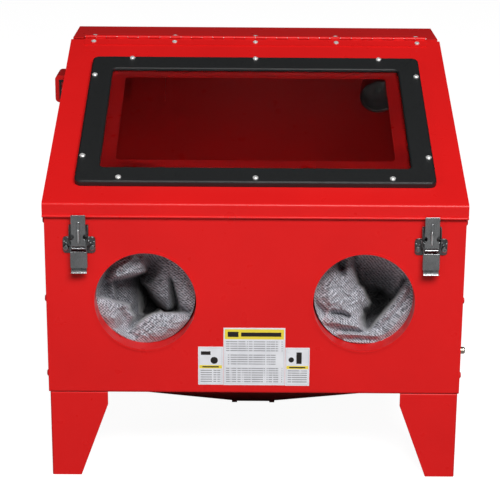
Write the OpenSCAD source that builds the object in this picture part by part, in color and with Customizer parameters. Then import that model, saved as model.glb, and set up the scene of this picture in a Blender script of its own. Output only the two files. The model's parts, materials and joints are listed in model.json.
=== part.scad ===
// Bench-top abrasive blasting cabinet: a sheet-steel body on four legs, a sloped lid with a
// window, two glove ports, two draw latches, a hopper, a lamp, and a blast gun on its hoses.
// Millimetres. +Z is up, +X is right, the front faces -Y, and z = 0 is the bench.

/* [Cabinet] */
// Width over the body
body_width = 515; // [490:5:540]
// Depth over the body
body_depth = 485; // [470:5:500]
// Height of the legs
leg_height = 114; // [108:1:125]
// Height of the front panel below the lid's lip
front_height = 228; // [222:1:240]
// Height of the lid's front lip
lip_height = 18; // [16:1:22]
// Rise of the sloped lid from its front bend to the hinge
lid_rise = 135; // [125:1:145]
// Depth of the flat strip behind the hinge
top_depth = 100; // [95:1:105]
// Sheet thickness
sheet = 1.5; // [1.2:0.1:1.6]

/* [Window] */
// Half width over the window frame
frame_half_width = 223; // [218:1:225]
// Length of the window frame along the slope
frame_length = 308; // [300:1:310]
// Distance of the frame from the lid's front bend
frame_start = 37; // [34:1:42]
// Width of the frame's bars
frame_bar = 29; // [27:1:30]
// Height of the frame above the lid
frame_height = 8; // [7:0.5:9]
// Thickness of the window glass
glass_thickness = 3; // [2:0.5:4]

/* [Glove ports] */
// Radius of the round port in the front panel
port_radius = 64.5; // [60:0.5:66]
// Distance of each port's centre from the middle
port_x = 135; // [130:1:138]
// Height of the port centres above the body's bottom edge
port_rise = 120; // [115:1:124]
// Depth of the port collars
collar_depth = 26; // [24:1:30]

/* [Latches] */
// Distance of each latch from the middle
latch_x = 215; // [210:1:218]
// Width of the latch hook
hook_width = 18; // [16:0.5:18]

/* [Hinge] */
// Length of the piano hinge
hinge_length = 480; // [450:30:480]
// Length of one knuckle
knuckle_length = 15; // [15:15:30]
// Width of each hinge leaf
leaf_width = 20; // [18:1:21]

/* [Hopper] */
// Half width of the square outlet
outlet_half = 30; // [28:1:32]
// Height of the outlet above the bench
outlet_z = 17; // [16:1:20]

/* [Air and exhaust] */
// Outer radius of the exhaust spigot
exhaust_radius = 19; // [17:0.5:20]
// Length of the exhaust spigot behind the cabinet
exhaust_length = 38; // [30:1:45]
// Radius of the air hose
air_hose_radius = 4.5; // [4:0.25:4.5]
// Radius of the media hose
media_hose_radius = 7; // [6:0.5:7]

/* [Hidden] */

$fn = 48;
cut = 1;                       // how far a cutter runs past a face
half_w = body_width / 2;
front_y = -body_depth / 2;
rear_y = body_depth / 2;
body_z = leg_height;
lip_z = body_z + front_height;
bend_z = lip_z + lip_height;
top_z = bend_z + lid_rise;
hinge_y = rear_y - top_depth;

// Lid: a tray that overhangs the body
lid_overlap = 2;
lid_gap = 0.5;
lid_front = front_y - lid_overlap;
lid_half = half_w + lid_gap + sheet;
lid_angle = atan((top_z - bend_z) / (hinge_y - lid_front));
lid_length = norm([hinge_y - lid_front, top_z - bend_z]);
bead_radius = 1.6;
rim_drop = 6.5;                // the body's sloped rim lies this far below the lid's face
rim_width = 14;
top_rim = 24;
flange = 22;                   // inward flange round the body's bottom edge
joint_flange = 20;             // flange that joins two panels

// Hinge
axis_lift = 1.6;
knuckle_radius = 2.6;
hinge_pin_radius = 1.25;
hinge_bore = 1.3;
leaf_thickness = 1.2;
knuckle_gap = 0.3;
leaf_gap = 3.2;
axis_y = hinge_y;
axis_z = top_z + axis_lift;
knuckles = round(hinge_length / knuckle_length);
hinge_screw_pitch = 113.5;
hinge_screw_set = 12;

// Screws
screw_radius = 2;
screw_hole = 2.15;
screw_head = 4.2;
screw_head_height = 2.4;
panel_screw_set = 10;
panel_screw_z = [body_z + 22, body_z + 121, body_z + 222];
top_screw_y = [hinge_y + 26, rear_y - 26];
bolt_radius = 3;
bolt_hole = 3.2;

// Hopper and grate
hopper_half_x = half_w - flange;
hopper_half_y = body_depth / 2 - flange;
funnel_wall = 1.6;
outlet_open = outlet_half - 8;
outlet_tongue = 42;            // the outlet's plate runs this far back, to carry the runners
gate_plate = 1.6;
gate_half = outlet_half - 4.5;
grate_z = body_z + 2 * sheet;
grate_thickness = 2;
floor_z = grate_z + grate_thickness;
grate_half_x = hopper_half_x + 3.8;
grate_half_y = hopper_half_y + 3.8;
grate_pitch = 34;
grate_hole = 9;

// Legs
leg_inset = 1.5;
leg_top = 72.5;
leg_foot = 37;
leg_shoulder = 17;
leg_half = half_w - leg_inset;
leg_front = body_depth / 2 - 1;
foot_set = 19;
leg_bolt_sets = [[51, 11], [10, 54]];   // each leg's bolts, in from its outer faces
foot_hole = 3.5;

// Glove ports
port_z = body_z + port_rise;
collar_wall = 1.5;
collar_outer = port_radius - 0.2;
cuff_radius = collar_outer + 2.6;
sleeve_end = 40;

// Latch, measured down from the lid's lower edge and out from the front panel
pivot_drop = 29;
pivot_out = 4.5;
hook_pin_drop = 38;
hook_pin_out = 6;
latch_pin_radius = 1.4;
latch_bore = 1.5;
lever_half = 10.4;
ear_half = 11.9;
wing_x = 16;
eyelet_x = 15;
wing_screw_drop = 38;

// Switch box on the left side
switch_y = [hinge_y, hinge_y + 52];
switch_z = [top_z - 93, top_z - 54];
switch_out = 27;
rocker_x = -(half_w + 11.5);
rocker_z = (switch_z[0] + switch_z[1]) / 2;
rocker_y = switch_y[0] + 2.2;
rocker_tilt = 12;

// Lamp, exhaust and air inlet
lamp_at = [176, 132, 414];
lamp_tilt = 22;
lamp_radius = 27;
lamp_length = 46;
exhaust_x = -157;
exhaust_z = 408;
exhaust_circle = 24.5;         // radius of the circle through its screws
air_y = front_y + 85;
air_z = body_z + 27;
barb_end = 236;

// Blast gun, lying on the grate
gun_y = 120;
gun_z = floor_z + 15;
gun_rear = -50;
gun_front = 42;
gun_radius = 13;
handle_x = -29;
handle_end = 38;
trigger_x = -4;
trigger_y = gun_y - 19;

// Routes of the hoses
air_route = [[235.9, -157.5, 141], [226, -157.5, 141], [214, -157.5, 140], [202, -154, 138],
    [192, -147, 134.5], [184.5, -137, 130.5], [181, -125, 127], [180, -111, 124.7],
    [180, -95, 124], [180, -78, 123.7], [179, -62, 123.7], [174, -46, 123.7],
    [163, -32, 123.7], [148, -23.5, 123.7], [130, -21, 123.7], [110, -22, 123.7],
    [90, -24, 123.7], [70, -26, 123.7], [50, -27, 123.7], [30, -27, 123.7],
    [11, -25.5, 124], [-6, -19.5, 125], [-19, -9, 127], [-26.5, 4, 130],
    [-28.9, 18, 133.6], [-29, 27.9, 134]];
media_route = [[-92, 0, 60], [-110, 0, 68], [-128, 0, 76], [-146, 1, 84], [-162, 7, 92],
    [-176, 18, 100.5], [-187, 33, 109], [-193, 52, 117.5], [-194, 72, 124],
    [-188, 92, 127.5], [-175, 108, 129], [-156, 118, 130], [-132, 122, 131],
    [-106, 121.3, 132.6], [-84, 120.1, 133.8], [-64.2, 120, 134]];

// ---- helpers ----

// A block between two corners
module block(low, high) {
    translate(low) cube([high[0] - low[0], high[1] - low[1], high[2] - low[2]]);
}

// The same block on the left (-1) or right (+1), its x measured out from the middle
module side_block(side, low, high) {
    if (side > 0) block(low, high);
    else mirror([1, 0, 0]) block(low, high);
}

// Frame of the sloped lid: +Y runs up the slope from the front bend, +Z out of the lid
module on_lid() {
    translate([0, lid_front, bend_z]) rotate([lid_angle, 0, 0]) children();
}

// A point s up the slope and h out of the lid's face, as [y, z]
function lid_point(s, h) = [lid_front + s * cos(lid_angle) - h * sin(lid_angle),
                            bend_z + s * sin(lid_angle) + h * cos(lid_angle)];

// An outline in the YZ plane, made a plate from x to x + thickness
module yz_plate(x, thickness) {
    translate([x, 0, 0]) rotate([90, 0, 90]) linear_extrude(thickness) children();
}

module rounded_rect(low, high, r) {
    translate([low[0] + r, low[1]]) square([high[0] - low[0] - 2 * r, high[1] - low[1]]);
    translate([low[0], low[1] + r]) square([high[0] - low[0], high[1] - low[1] - 2 * r]);
    for (x = [low[0] + r, high[0] - r], y = [low[1] + r, high[1] - r]) translate([x, y]) circle(r);
}

// A flat ring in the lid's frame, from its outer and inner rectangles
module lid_ring(z, height, outer_x, outer_s, inner_x, inner_s, outer_r, inner_r) {
    on_lid() translate([0, 0, z]) linear_extrude(height) difference() {
        rounded_rect([-outer_x, outer_s[0]], [outer_x, outer_s[1]], outer_r);
        rounded_rect([-inner_x, inner_s[0]], [inner_x, inner_s[1]], inner_r);
    }
}

// Cylinders that point along +X and +Y
module x_cylinder(at, r, h) { translate(at) rotate([0, 90, 0]) cylinder(r = r, h = h); }
module y_cylinder(at, r, h) { translate(at) rotate([-90, 0, 0]) cylinder(r = r, h = h); }

// Pan-head screw along -Z with its head's underside at z = 0
module pan_screw(length, r = screw_radius, head = screw_head, height = screw_head_height) {
    difference() {
        union() {
            cylinder(r = head, h = height * 0.6);
            translate([0, 0, height * 0.6]) cylinder(r1 = head, r2 = head * 0.7, h = height * 0.4);
            translate([0, 0, -length]) cylinder(r = r, h = length);
        }
        for (a = [0, 90]) rotate(a) translate([-head * 0.5, -0.4, height * 0.45]) cube([head, 0.8, height]);
    }
}

module at_panel_screws() {
    for (side = [-1, 1]) {
        for (y = [front_y + panel_screw_set, rear_y - panel_screw_set], z = panel_screw_z)
            translate([side * half_w, y, z]) rotate([0, side * 90, 0]) children();
        for (y = top_screw_y)
            translate([side * half_w, y, top_z - 9]) rotate([0, side * 90, 0]) children();
    }
}

module at_leg_bolts() {
    for (sx = [-1, 1], sy = [-1, 1], set = leg_bolt_sets)
        translate([sx * (leg_half - set[0]), sy * (leg_front - set[1]), 0]) children();
}

module at_hinge_screws() {
    for (i = [-2:2]) translate([i * hinge_screw_pitch, 0, 0]) children();
}

module at_window_screws() {
    set = 6;
    s_low = frame_start + set + 2;
    s_high = frame_start + frame_length - set;
    x_side = frame_half_width - set;
    on_lid() {
        for (s = [s_low, s_high], x = [-169, 0, 169]) translate([x, s, frame_height]) children();
        for (s = [frame_start + 56, s_high - 46], side = [-1, 1])
            translate([side * x_side, s, frame_height]) children();
    }
}

module at_exhaust_screws() {
    for (a = [45:90:315])
        translate([exhaust_x + exhaust_circle * cos(a), rear_y, exhaust_z + exhaust_circle * sin(a)])
            rotate([-90, 0, 0]) children();
}

module at_latch_screws() {
    for (side = [-1, 1], x = [-wing_x, wing_x])
        translate([side * latch_x + x, front_y, lip_z - wing_screw_drop]) rotate([90, 0, 0]) children();
}

module panel_screw_holes() { at_panel_screws() translate([0, 0, -8]) cylinder(r = screw_hole, h = 10); }
module leg_bolt_holes() { at_leg_bolts() translate([0, 0, body_z - 10]) cylinder(r = bolt_hole, h = 20); }

// A round tube swept along a route
function tangent(p, i) = let(a = p[max(i - 1, 0)], b = p[min(i + 1, len(p) - 1)]) (b - a) / norm(b - a);
function level_side(t) = let(v = cross([0, 0, 1], t)) v / norm(v);
function smooth_point(p, i, u) =
    let(a = p[max(i - 1, 0)], b = p[i], c = p[i + 1], d = p[min(i + 2, len(p) - 1)])
    0.5 * (2 * b + (c - a) * u + (2 * a - 5 * b + 4 * c - d) * u * u
           + (3 * b - a - 3 * c + d) * u * u * u);
function smooth_route(p, n) = concat(
    [for (i = [0:len(p) - 2], k = [0:n - 1]) smooth_point(p, i, k / n)], [p[len(p) - 1]]);

module hose(route, r, sides, rings_between) {
    p = smooth_route(route, rings_between);
    last = len(p) - 1;
    points = [for (i = [0:last], k = [0:sides - 1])
        let(t = tangent(p, i), u = level_side(t), v = cross(t, u), a = 360 * k / sides)
        p[i] + r * (cos(a) * u + sin(a) * v)];
    walls = [for (i = [0:last - 1], k = [0:sides - 1])
        let(a = i * sides + k, b = i * sides + (k + 1) % sides) [a, a + sides, b + sides, b]];
    first_cap = [for (k = [0:sides - 1]) k];
    last_cap = [for (k = [sides - 1:-1:0]) last * sides + k];
    polyhedron(points, concat([first_cap, last_cap], walls));
}

// ---- body panels ----

module front_panel() color("red") difference() {
    union() {
        block([-half_w, front_y, body_z], [half_w, front_y + sheet, bend_z - 7]);
        for (side = [-1, 1]) side_block(side,
            [half_w - 2 * sheet, front_y + sheet, body_z + 2 * sheet],
            [half_w - sheet, front_y + joint_flange, lip_z - 2]);
        block([-half_w + 2 * sheet, front_y + sheet, body_z],
              [half_w - 2 * sheet, front_y + flange, body_z + sheet]);
        on_lid() block([-half_w + 2 * sheet, 0.4, -rim_drop - sheet],
                       [half_w - 2 * sheet, rim_width, -rim_drop]);
    }
    for (side = [-1, 1])
        y_cylinder([side * port_x, front_y - cut, port_z], port_radius, sheet + 2 * cut);
    panel_screw_holes();
    leg_bolt_holes();
    at_latch_screws() translate([0, 0, -8]) cylinder(r = screw_hole, h = 10);
}

module side_panel(side) color("red") difference() {
    union() {
        mirror([side < 0 ? 1 : 0, 0, 0]) yz_plate(half_w - sheet, sheet) polygon([
            [front_y + sheet, body_z], [rear_y - sheet, body_z], [rear_y - sheet, top_z - sheet],
            [hinge_y + 5, top_z - sheet], lid_point(lid_length + 1, -rim_drop - 0.2),
            lid_point(1.5, -rim_drop - 0.2), [front_y + sheet, bend_z - 8]]);
        side_block(side, [half_w - flange, front_y + flange + 0.2, body_z],
                   [half_w - sheet, rear_y - flange - 0.2, body_z + sheet]);
        on_lid() side_block(side, [half_w - sheet - rim_width, rim_width + 0.2, -rim_drop - sheet],
                            [half_w - sheet / 2, lid_length - top_rim - 0.2, -rim_drop]);
    }
    panel_screw_holes();
    leg_bolt_holes();
    if (side > 0) x_cylinder([half_w - 30, air_y, air_z], 6.7, 40);
    else x_cylinder([-half_w - 10, rocker_y + 26, rocker_z], 5, 20);
}

module rear_panel() color("red") difference() {
    union() {
        block([-half_w, rear_y - sheet, body_z], [half_w, rear_y, top_z - sheet]);
        for (side = [-1, 1]) side_block(side,
            [half_w - 2 * sheet, rear_y - joint_flange, body_z + 2 * sheet],
            [half_w - sheet, rear_y - sheet, top_z - 20]);
        block([-half_w + 2 * sheet, rear_y - flange, body_z],
              [half_w - 2 * sheet, rear_y - sheet, body_z + sheet]);
    }
    y_cylinder([exhaust_x, rear_y - 10, exhaust_z], exhaust_radius + 0.2, 20);
    at_exhaust_screws() translate([0, 0, -8]) cylinder(r = screw_hole, h = 12);
    panel_screw_holes();
    leg_bolt_holes();
}

module top_panel() color("red") difference() {
    inner = half_w - sheet;
    union() {
        block([-half_w, hinge_y + 3.5, top_z - sheet], [half_w, rear_y, top_z]);
        for (side = [-1, 1]) side_block(side, [inner - sheet, hinge_y + 8, top_z - 17],
                                        [inner, rear_y - sheet - 1, top_z - sheet]);
        block([-inner, hinge_y + 3.5, top_z - 8.4], [inner, hinge_y + 3.5 + sheet, top_z - sheet]);
        on_lid() block([-inner, lid_length - top_rim, -rim_drop - sheet],
                       [inner, lid_length + 4, -rim_drop]);
    }
    panel_screw_holes();
    translate([0, hinge_y + hinge_screw_set, top_z - 6]) at_hinge_screws() cylinder(r = screw_hole, h = 10);
}

// ---- hopper, gate and grate ----

module funnel(top_x, top_y, bottom) {
    hull() {
        translate([-top_x, -top_y, body_z + sheet]) cube([2 * top_x, 2 * top_y, 0.01]);
        translate([-bottom, -bottom, outlet_z]) cube([2 * bottom, 2 * bottom, 0.01]);
    }
}

module hopper() color("darkred") difference() {
    rim_x = half_w - 2 * sheet - 0.2;
    rim_y = body_depth / 2 - 2 * sheet - 0.2;
    union() {
        difference() {
            funnel(hopper_half_x, hopper_half_y, outlet_half);
            funnel(hopper_half_x - funnel_wall, hopper_half_y - funnel_wall, outlet_half - funnel_wall);
        }
        difference() {
            block([-rim_x, -rim_y, body_z + sheet], [rim_x, rim_y, body_z + 2 * sheet]);
            block([funnel_wall - hopper_half_x, funnel_wall - hopper_half_y, body_z],
                  [hopper_half_x - funnel_wall, hopper_half_y - funnel_wall, body_z + 9]);
        }
        difference() {
            block([-outlet_half, -outlet_half, outlet_z], [outlet_half, outlet_tongue, outlet_z + sheet]);
            block([-outlet_open, -outlet_open, outlet_z - cut], [outlet_open, outlet_open, outlet_z + 9]);
        }
    }
    leg_bolt_holes();
}

module gate_runners() color("darkred") for (side = [-1, 1]) {
    low = outlet_z - 3.4;
    front = 1 - outlet_half;
    side_block(side, [gate_half + 0.5, front, low], [outlet_half - 0.4, outlet_tongue, outlet_z]);
    side_block(side, [outlet_open + 0.5, front, low], [gate_half + 0.5, outlet_tongue, low + 1.2]);
}

module hopper_gate() color("darkred") {
    low = outlet_z - 1.9;
    back = outlet_tongue + 4;
    block([-gate_half, 2 - outlet_half, low], [gate_half, back, low + gate_plate]);
    translate([0, back, low]) linear_extrude(gate_plate) difference() {
        rounded_rect([-18, -6], [18, 22], 5);
        translate([0, 11]) circle(5);
    }
}

module grate() color("dimgray") {
    columns = floor((grate_half_x - 12) / grate_pitch);
    rows = floor((grate_half_y - 12) / grate_pitch);
    translate([0, 0, grate_z]) linear_extrude(grate_thickness) difference() {
        translate([-grate_half_x, -grate_half_y]) square([2 * grate_half_x, 2 * grate_half_y]);
        for (i = [-columns:columns], j = [-rows:rows])
            if (i > -5 || i < -6 || j < 1 || j > 2)
                translate([i * grate_pitch, j * grate_pitch]) circle(grate_hole, $fn = 24);
        rounded_rect([-208, 20], [-172, 96], 6);
    }
    difference() {
        block([-grate_half_x, -grate_half_y, floor_z], [grate_half_x, grate_half_y, floor_z + 6]);
        block([sheet - grate_half_x, sheet - grate_half_y, floor_z - cut],
              [grate_half_x - sheet, grate_half_y - sheet, floor_z + 9]);
    }
}

// ---- legs ----

// Profile of one leg face, its outer edge on x = 0 and its width along -x
module leg_profile() {
    polygon([[0, 0], [0, body_z], [-leg_top, body_z], [-leg_top, body_z - leg_shoulder], [-leg_foot, 0]]);
}

module leg(side, end) color("red") difference() {
    mirror([side < 0 ? 1 : 0, 0, 0]) mirror([0, end > 0 ? 1 : 0, 0]) {
        translate([leg_half, sheet - leg_front, 0]) rotate([90, 0, 0]) linear_extrude(sheet) leg_profile();
        translate([leg_half - sheet, -leg_front, 0]) rotate([90, 0, 90]) linear_extrude(sheet)
            mirror([1, 0]) leg_profile();
        block([leg_half - leg_top, -leg_front, body_z - sheet], [leg_half, -leg_front + flange, body_z]);
        block([leg_half - flange, -leg_front, body_z - sheet], [leg_half, -leg_front + leg_top, body_z]);
        block([leg_half - leg_foot, -leg_front, 0], [leg_half, -leg_front + leg_foot, sheet]);
    }
    translate([side * (leg_half - foot_set), end * (leg_front - foot_set), -cut])
        cylinder(r = foot_hole, h = sheet + 2 * cut);
    leg_bolt_holes();
}

module leg_bolts() color("silver") at_leg_bolts() {
    translate([0, 0, body_z - sheet - 4]) cylinder(r = 5.6, h = 4, $fn = 6);
    translate([0, 0, body_z - sheet]) cylinder(r = bolt_radius, h = 3 * sheet + 7);
    translate([0, 0, body_z + 2 * sheet]) cylinder(r = 5.6, h = 5, $fn = 6);
}

module panel_screws() color("red") at_panel_screws() pan_screw(7);

// ---- glove ports ----

module glove_collar(side) color("red") translate([side * port_x, front_y, port_z])
    rotate([-90, 0, 0]) rotate_extrude($fn = 96) {
        inner = collar_outer - collar_wall;
        translate([inner, -0.8]) square([collar_wall, collar_depth + 0.8]);
        translate([inner, -0.8]) square([collar_wall + 1.2, 0.8]);
        translate([inner, collar_depth - sheet]) square([collar_wall + 2.4, sheet]);
    }

// Glove: a cuff over the collar, a bunched sleeve, and the hand hanging from its end
module glove(side) color("gray") translate([side * port_x, front_y, port_z]) {
    rotate([-90, 0, 0]) rotate_extrude($fn = 64) polygon([
        [collar_outer + 0.3, 8], [cuff_radius, 8], [cuff_radius, collar_depth - 2],
        [cuff_radius + 1, collar_depth + 6], [58, 90], [50, 112], [sleeve_end - 4, 126], [0, 126],
        [0, 122], [sleeve_end - 8, 122], [46, 108], [54, 88], [cuff_radius - 2, collar_depth + 4],
        [cuff_radius - 2, collar_depth + 0.3], [collar_outer + 0.3 + 2.2, collar_depth + 0.3],
        [collar_outer + 0.3 + 2.2, collar_depth - 2], [collar_outer + 0.3, collar_depth - 2]]);
    hull() {
        translate([0, 154, -14]) sphere(30, $fn = 32);
        translate([0, 170, -62]) sphere(27, $fn = 32);
        translate([0, 184, -96]) sphere(15, $fn = 32);
    }
}

module glove_clamp(side) color("silver") translate([side * port_x, front_y, port_z]) {
    rotate([-90, 0, 0]) rotate_extrude($fn = 96)
        translate([cuff_radius + 0.1, 12]) square([0.9, 9]);
    x_cylinder([-9, 16.5, cuff_radius + 3.8], 3.4, 18);
}

// ---- hinge ----

// Every second knuckle, from the first or second one on
function knuckle_starts(first) =
    [for (i = [first:2:knuckles - 1]) -hinge_length / 2 + i * knuckle_length + knuckle_gap];

module hinge_knuckles(first) {
    for (x = knuckle_starts(first))
        x_cylinder([x, axis_y, axis_z], knuckle_radius, knuckle_length - 2 * knuckle_gap);
}

// Outline of a leaf: its free edge, its root beside the knuckles, and the ends of its tabs
module leaf_outline(first, edge, root, tab) {
    half = hinge_length / 2;
    inset = 0.3;               // a tab is this much narrower than its knuckle at each end
    width = knuckle_length - 2 * knuckle_gap - 2 * inset;
    polygon(concat([[-half, edge], [-half, root]],
        [for (start = knuckle_starts(first)) let(x = start + inset)
            each [[x, root], [x, tab], [x + width, tab], [x + width, root]]],
        [[half, root], [half, edge]]));
}

module hinge_pin_bore() { x_cylinder([-hinge_length, axis_y, axis_z], hinge_bore, 2 * hinge_length); }

module hinge_body_leaf() color("red") difference() {
    union() {
        translate([0, hinge_y, top_z]) linear_extrude(leaf_thickness)
            leaf_outline(0, leaf_width, leaf_gap, 1.7);
        hinge_knuckles(0);
    }
    hinge_pin_bore();
    translate([0, hinge_y + hinge_screw_set, top_z - cut]) at_hinge_screws() cylinder(r = screw_hole, h = 4);
}

module hinge_lid_leaf() color("red") difference() {
    union() {
        on_lid() translate([0, lid_length, 0]) linear_extrude(leaf_thickness)
            leaf_outline(1, -leaf_width, -leaf_gap, -1.2);
        hinge_knuckles(1);
    }
    hinge_pin_bore();
    on_lid() translate([0, lid_length - hinge_screw_set, -cut]) at_hinge_screws()
        cylinder(r = screw_hole, h = 4);
}

module hinge_pin() color("silver")
    x_cylinder([-hinge_length / 2 - 0.5, axis_y, axis_z], hinge_pin_radius, hinge_length + 1);

module hinge_body_screws() color("silver")
    translate([0, hinge_y + hinge_screw_set, top_z + leaf_thickness]) at_hinge_screws()
        pan_screw(5, head = 3.4, height = 1.8);

// These end flush under the lid, clear of the gasket
module hinge_lid_screws() color("silver") on_lid()
    translate([0, lid_length - hinge_screw_set, leaf_thickness]) at_hinge_screws()
        pan_screw(leaf_thickness + sheet, head = 3.4, height = 1.8);

// ---- lid and window ----

module lid_gasket() color("black")
    lid_ring(-rim_drop, rim_drop - sheet - 0.2, half_w - 4, [3, lid_length - 11],
             half_w - 13, [12.5, lid_length - 20.5], 3, 3);

module lid_panel() color("red") difference() {
    cut_x = 176;
    lip_start = lip_z + 0.5;
    lid_end = lid_length - 3.5;
    inner_bend = bend_z - sheet * (1 - sin(lid_angle)) / cos(lid_angle);
    skirt_edge = lid_end - 0.5;
    union() {
        // lip and sloped sheet
        yz_plate(-lid_half, 2 * lid_half) polygon([[lid_front, lip_start], [lid_front, bend_z],
            lid_point(lid_end, 0), lid_point(lid_end, -sheet), [lid_front + sheet, inner_bend],
            [lid_front + sheet, lip_start]]);
        // skirts down the sides
        for (x = [-lid_half + 0.2, lid_half - sheet - 0.2])
            yz_plate(x, sheet) polygon([[lid_front + sheet / 2, lip_start + 0.3],
                lid_point(3, -lip_height), lid_point(skirt_edge, -lip_height),
                lid_point(skirt_edge, -sheet / 2), lid_point(1, -sheet / 2)]);
        x_cylinder([-lid_half, lid_front - 0.3, lip_z + bead_radius], bead_radius, 2 * lid_half);
    }
    on_lid() {
        translate([0, 0, -sheet - cut]) linear_extrude(sheet + 2 * cut)
            rounded_rect([-cut_x, 95], [cut_x, 300], 6);
        translate([0, lid_length - hinge_screw_set, -6]) at_hinge_screws() cylinder(r = screw_hole, h = 10);
    }
    at_window_screws() translate([0, 0, -20]) cylinder(r = screw_hole, h = 20);
}

module window_frame() color("black") {
    outer_s = [frame_start, frame_start + frame_length];
    open_x = frame_half_width - frame_bar;
    difference() {
        union() {
            lid_ring(0, frame_height - 1.2, frame_half_width, outer_s, open_x,
                     [outer_s[0] + frame_bar + 3, outer_s[1] - frame_bar - 3], 9, 6);
            lid_ring(frame_height - 1.2, 1.2, frame_half_width - 1.2, [outer_s[0] + 1.2, outer_s[1] - 1.2],
                     open_x + 0.8, [outer_s[0] + frame_bar + 2.2, outer_s[1] - frame_bar - 2.2], 8, 7);
        }
        on_lid() block([-open_x - 9, outer_s[0] + frame_bar - 6, -cut],
                       [open_x + 9, outer_s[1] - frame_bar + 6, glass_thickness + 0.3]);
        at_window_screws() translate([0, 0, -20]) cylinder(r = screw_hole, h = 24);
    }
}

module window_glass() color("lightblue", 0.4) {
    open_x = frame_half_width - frame_bar + 8.5;
    on_lid() block([-open_x, frame_start + frame_bar - 5.5, 0],
                   [open_x, frame_start + frame_length - frame_bar + 5.5, glass_thickness]);
}

module window_retainer() color("darkred") difference() {
    lid_ring(-2 * sheet, sheet, frame_half_width - 1, [frame_start + 2, frame_start + frame_length - 1],
             183, [88, 307], 6, 6);
    at_window_screws() translate([0, 0, -20]) cylinder(r = screw_hole, h = 24);
}

module window_screws() color("white") at_window_screws() pan_screw(14, head = 3.6);

// ---- draw latches ----

// Frame of a latch: +X right, +Y into the cabinet from the front face, +Z up from the lid's edge
module at_latch(side) { translate([side * latch_x, front_y, lip_z]) children(); }

module latch_base(side) color("silver") at_latch(side) {
    difference() {
        union() {
            rotate([90, 0, 0]) linear_extrude(1.2) difference() {
                union() {
                    rounded_rect([-20, -45], [20, -24], 4);
                    translate([-ear_half, -44]) square([2 * ear_half, 35]);
                }
                for (x = [-wing_x, wing_x]) translate([x, -wing_screw_drop]) circle(screw_hole);
            }
            for (x = [-ear_half, lever_half + 0.2]) translate([0, -1, 0])
                yz_plate(x, ear_half - lever_half - 0.2)
                    polygon([[0, -38], [-7.6, -34], [-7.6, -25], [-3.4, -10], [0, -9]]);
            for (x = [-eyelet_x, eyelet_x]) translate([x, -1.2, -28.8]) rotate([90, 0, 0]) difference() {
                cylinder(r = 4.4, h = 2.2);
                translate([0, 0, 0.6]) cylinder(r = 2.7, h = 3);
            }
        }
        x_cylinder([-20, -pivot_out, -pivot_drop], latch_bore, 40);
    }
    // riveted pivot pin
    x_cylinder([-ear_half - 0.6, -pivot_out, -pivot_drop], latch_pin_radius, 2 * ear_half + 1.2);
    for (x = [-ear_half - 1, ear_half]) x_cylinder([x, -pivot_out, -pivot_drop], 2.3, 1);
}

module latch_screws() color("silver") at_latch_screws() translate([0, 0, 1.2])
    pan_screw(5, head = 3.9, height = 3);

module latch_lever(side) color("silver") at_latch(side) {
    arm = 1;
    difference() {
        for (x = [-lever_half, lever_half - arm]) yz_plate(x, arm) {
            polygon([[-2, -29], [-7, -29], [-8.6, -34], [-8.6, -62], [-5, -60], [-3.4, -40]]);
            translate([-pivot_out, -pivot_drop]) circle(2.6);
        }
        x_cylinder([-20, -pivot_out, -pivot_drop], latch_bore, 40);
        x_cylinder([-20, -hook_pin_out, -hook_pin_drop], latch_pin_radius, 40);
    }
    block([-lever_half + arm, -8.6, -62], [lever_half - arm, -7.6, -41.5]);
    translate([-lever_half + 0.8, -8.6, -62]) rotate([-28, 0, 0])
        block([0, 0, -7], [2 * lever_half - 1.6, 1, 0.5]);
    // pin that carries the hook
    x_cylinder([-lever_half, -hook_pin_out, -hook_pin_drop], latch_pin_radius, 2 * lever_half);
}

module latch_hook(side) color("silver") at_latch(side) {
    half = hook_width / 2;
    plate_out = 8.2;
    plate = 1.2;
    tab_z = 2 * bead_radius + 0.2;
    difference() {
        union() {
            translate([0, plate - plate_out, 0]) rotate([90, 0, 0]) linear_extrude(plate) difference() {
                translate([-half, -35]) square([hook_width, tab_z + 36.2]);
                for (x = [-half, half]) translate([x, -23]) circle(3.4);
            }
            block([-half, -plate_out, tab_z], [half, -plate_out + 2, tab_z + plate]);
            for (x = [-half, half - 1.1]) yz_plate(x, 1.1) {
                translate([-hook_pin_out, -hook_pin_drop]) circle(2.2);
                polygon([[-8.2, -37.5], [-4.2, -37.5], [-6, -34], [-8.2, -32]]);
            }
            // pressed rib
            translate([0, -plate_out, -30]) rounded_rib(3.6, 26, 1.4);
        }
        x_cylinder([-20, -hook_pin_out, -hook_pin_drop], latch_bore, 40);
    }
}

// A round-ended rib that stands out towards -Y
module rounded_rib(width, length, height) {
    rotate([90, 0, 0]) linear_extrude(height) {
        translate([-width / 2, width / 2]) square([width, length - width]);
        for (y = [width / 2, length - width / 2]) translate([0, y]) circle(width / 2);
    }
}

// ---- switch box ----

module switch_box_wall() {
    x_out = -(half_w + switch_out);
    depth = switch_y[1] - switch_y[0];
    translate([0, switch_y[1], 0]) rotate([90, 0, 0]) linear_extrude(depth) difference() {
        rounded_rect([x_out, switch_z[0]], [-half_w, switch_z[1]], 6);
        rounded_rect([x_out + sheet, switch_z[0] + sheet], [-half_w - 0.8, switch_z[1] - sheet], 4.5);
    }
}

module switch_box_ends() {
    x_out = -(half_w + switch_out);
    for (y = [switch_y[0] + sheet, switch_y[1]]) translate([0, y, 0]) rotate([90, 0, 0])
        linear_extrude(sheet) rounded_rect([x_out + 1, switch_z[0] + 1], [-half_w, switch_z[1] - 1], 5);
}

module switch_box() color("red") difference() {
    union() {
        switch_box_wall();
        switch_box_ends();
    }
    block([rocker_x - 8.1, switch_y[0] - cut, rocker_z - 12.1],
          [rocker_x + 8.1, switch_y[0] + sheet + cut, rocker_z + 12.1]);
    y_cylinder([rocker_x, switch_y[1] - 4, rocker_z], 4.1, 8);
    x_cylinder([-half_w - 5, rocker_y + 26, rocker_z], 5, 10);
}

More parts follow.
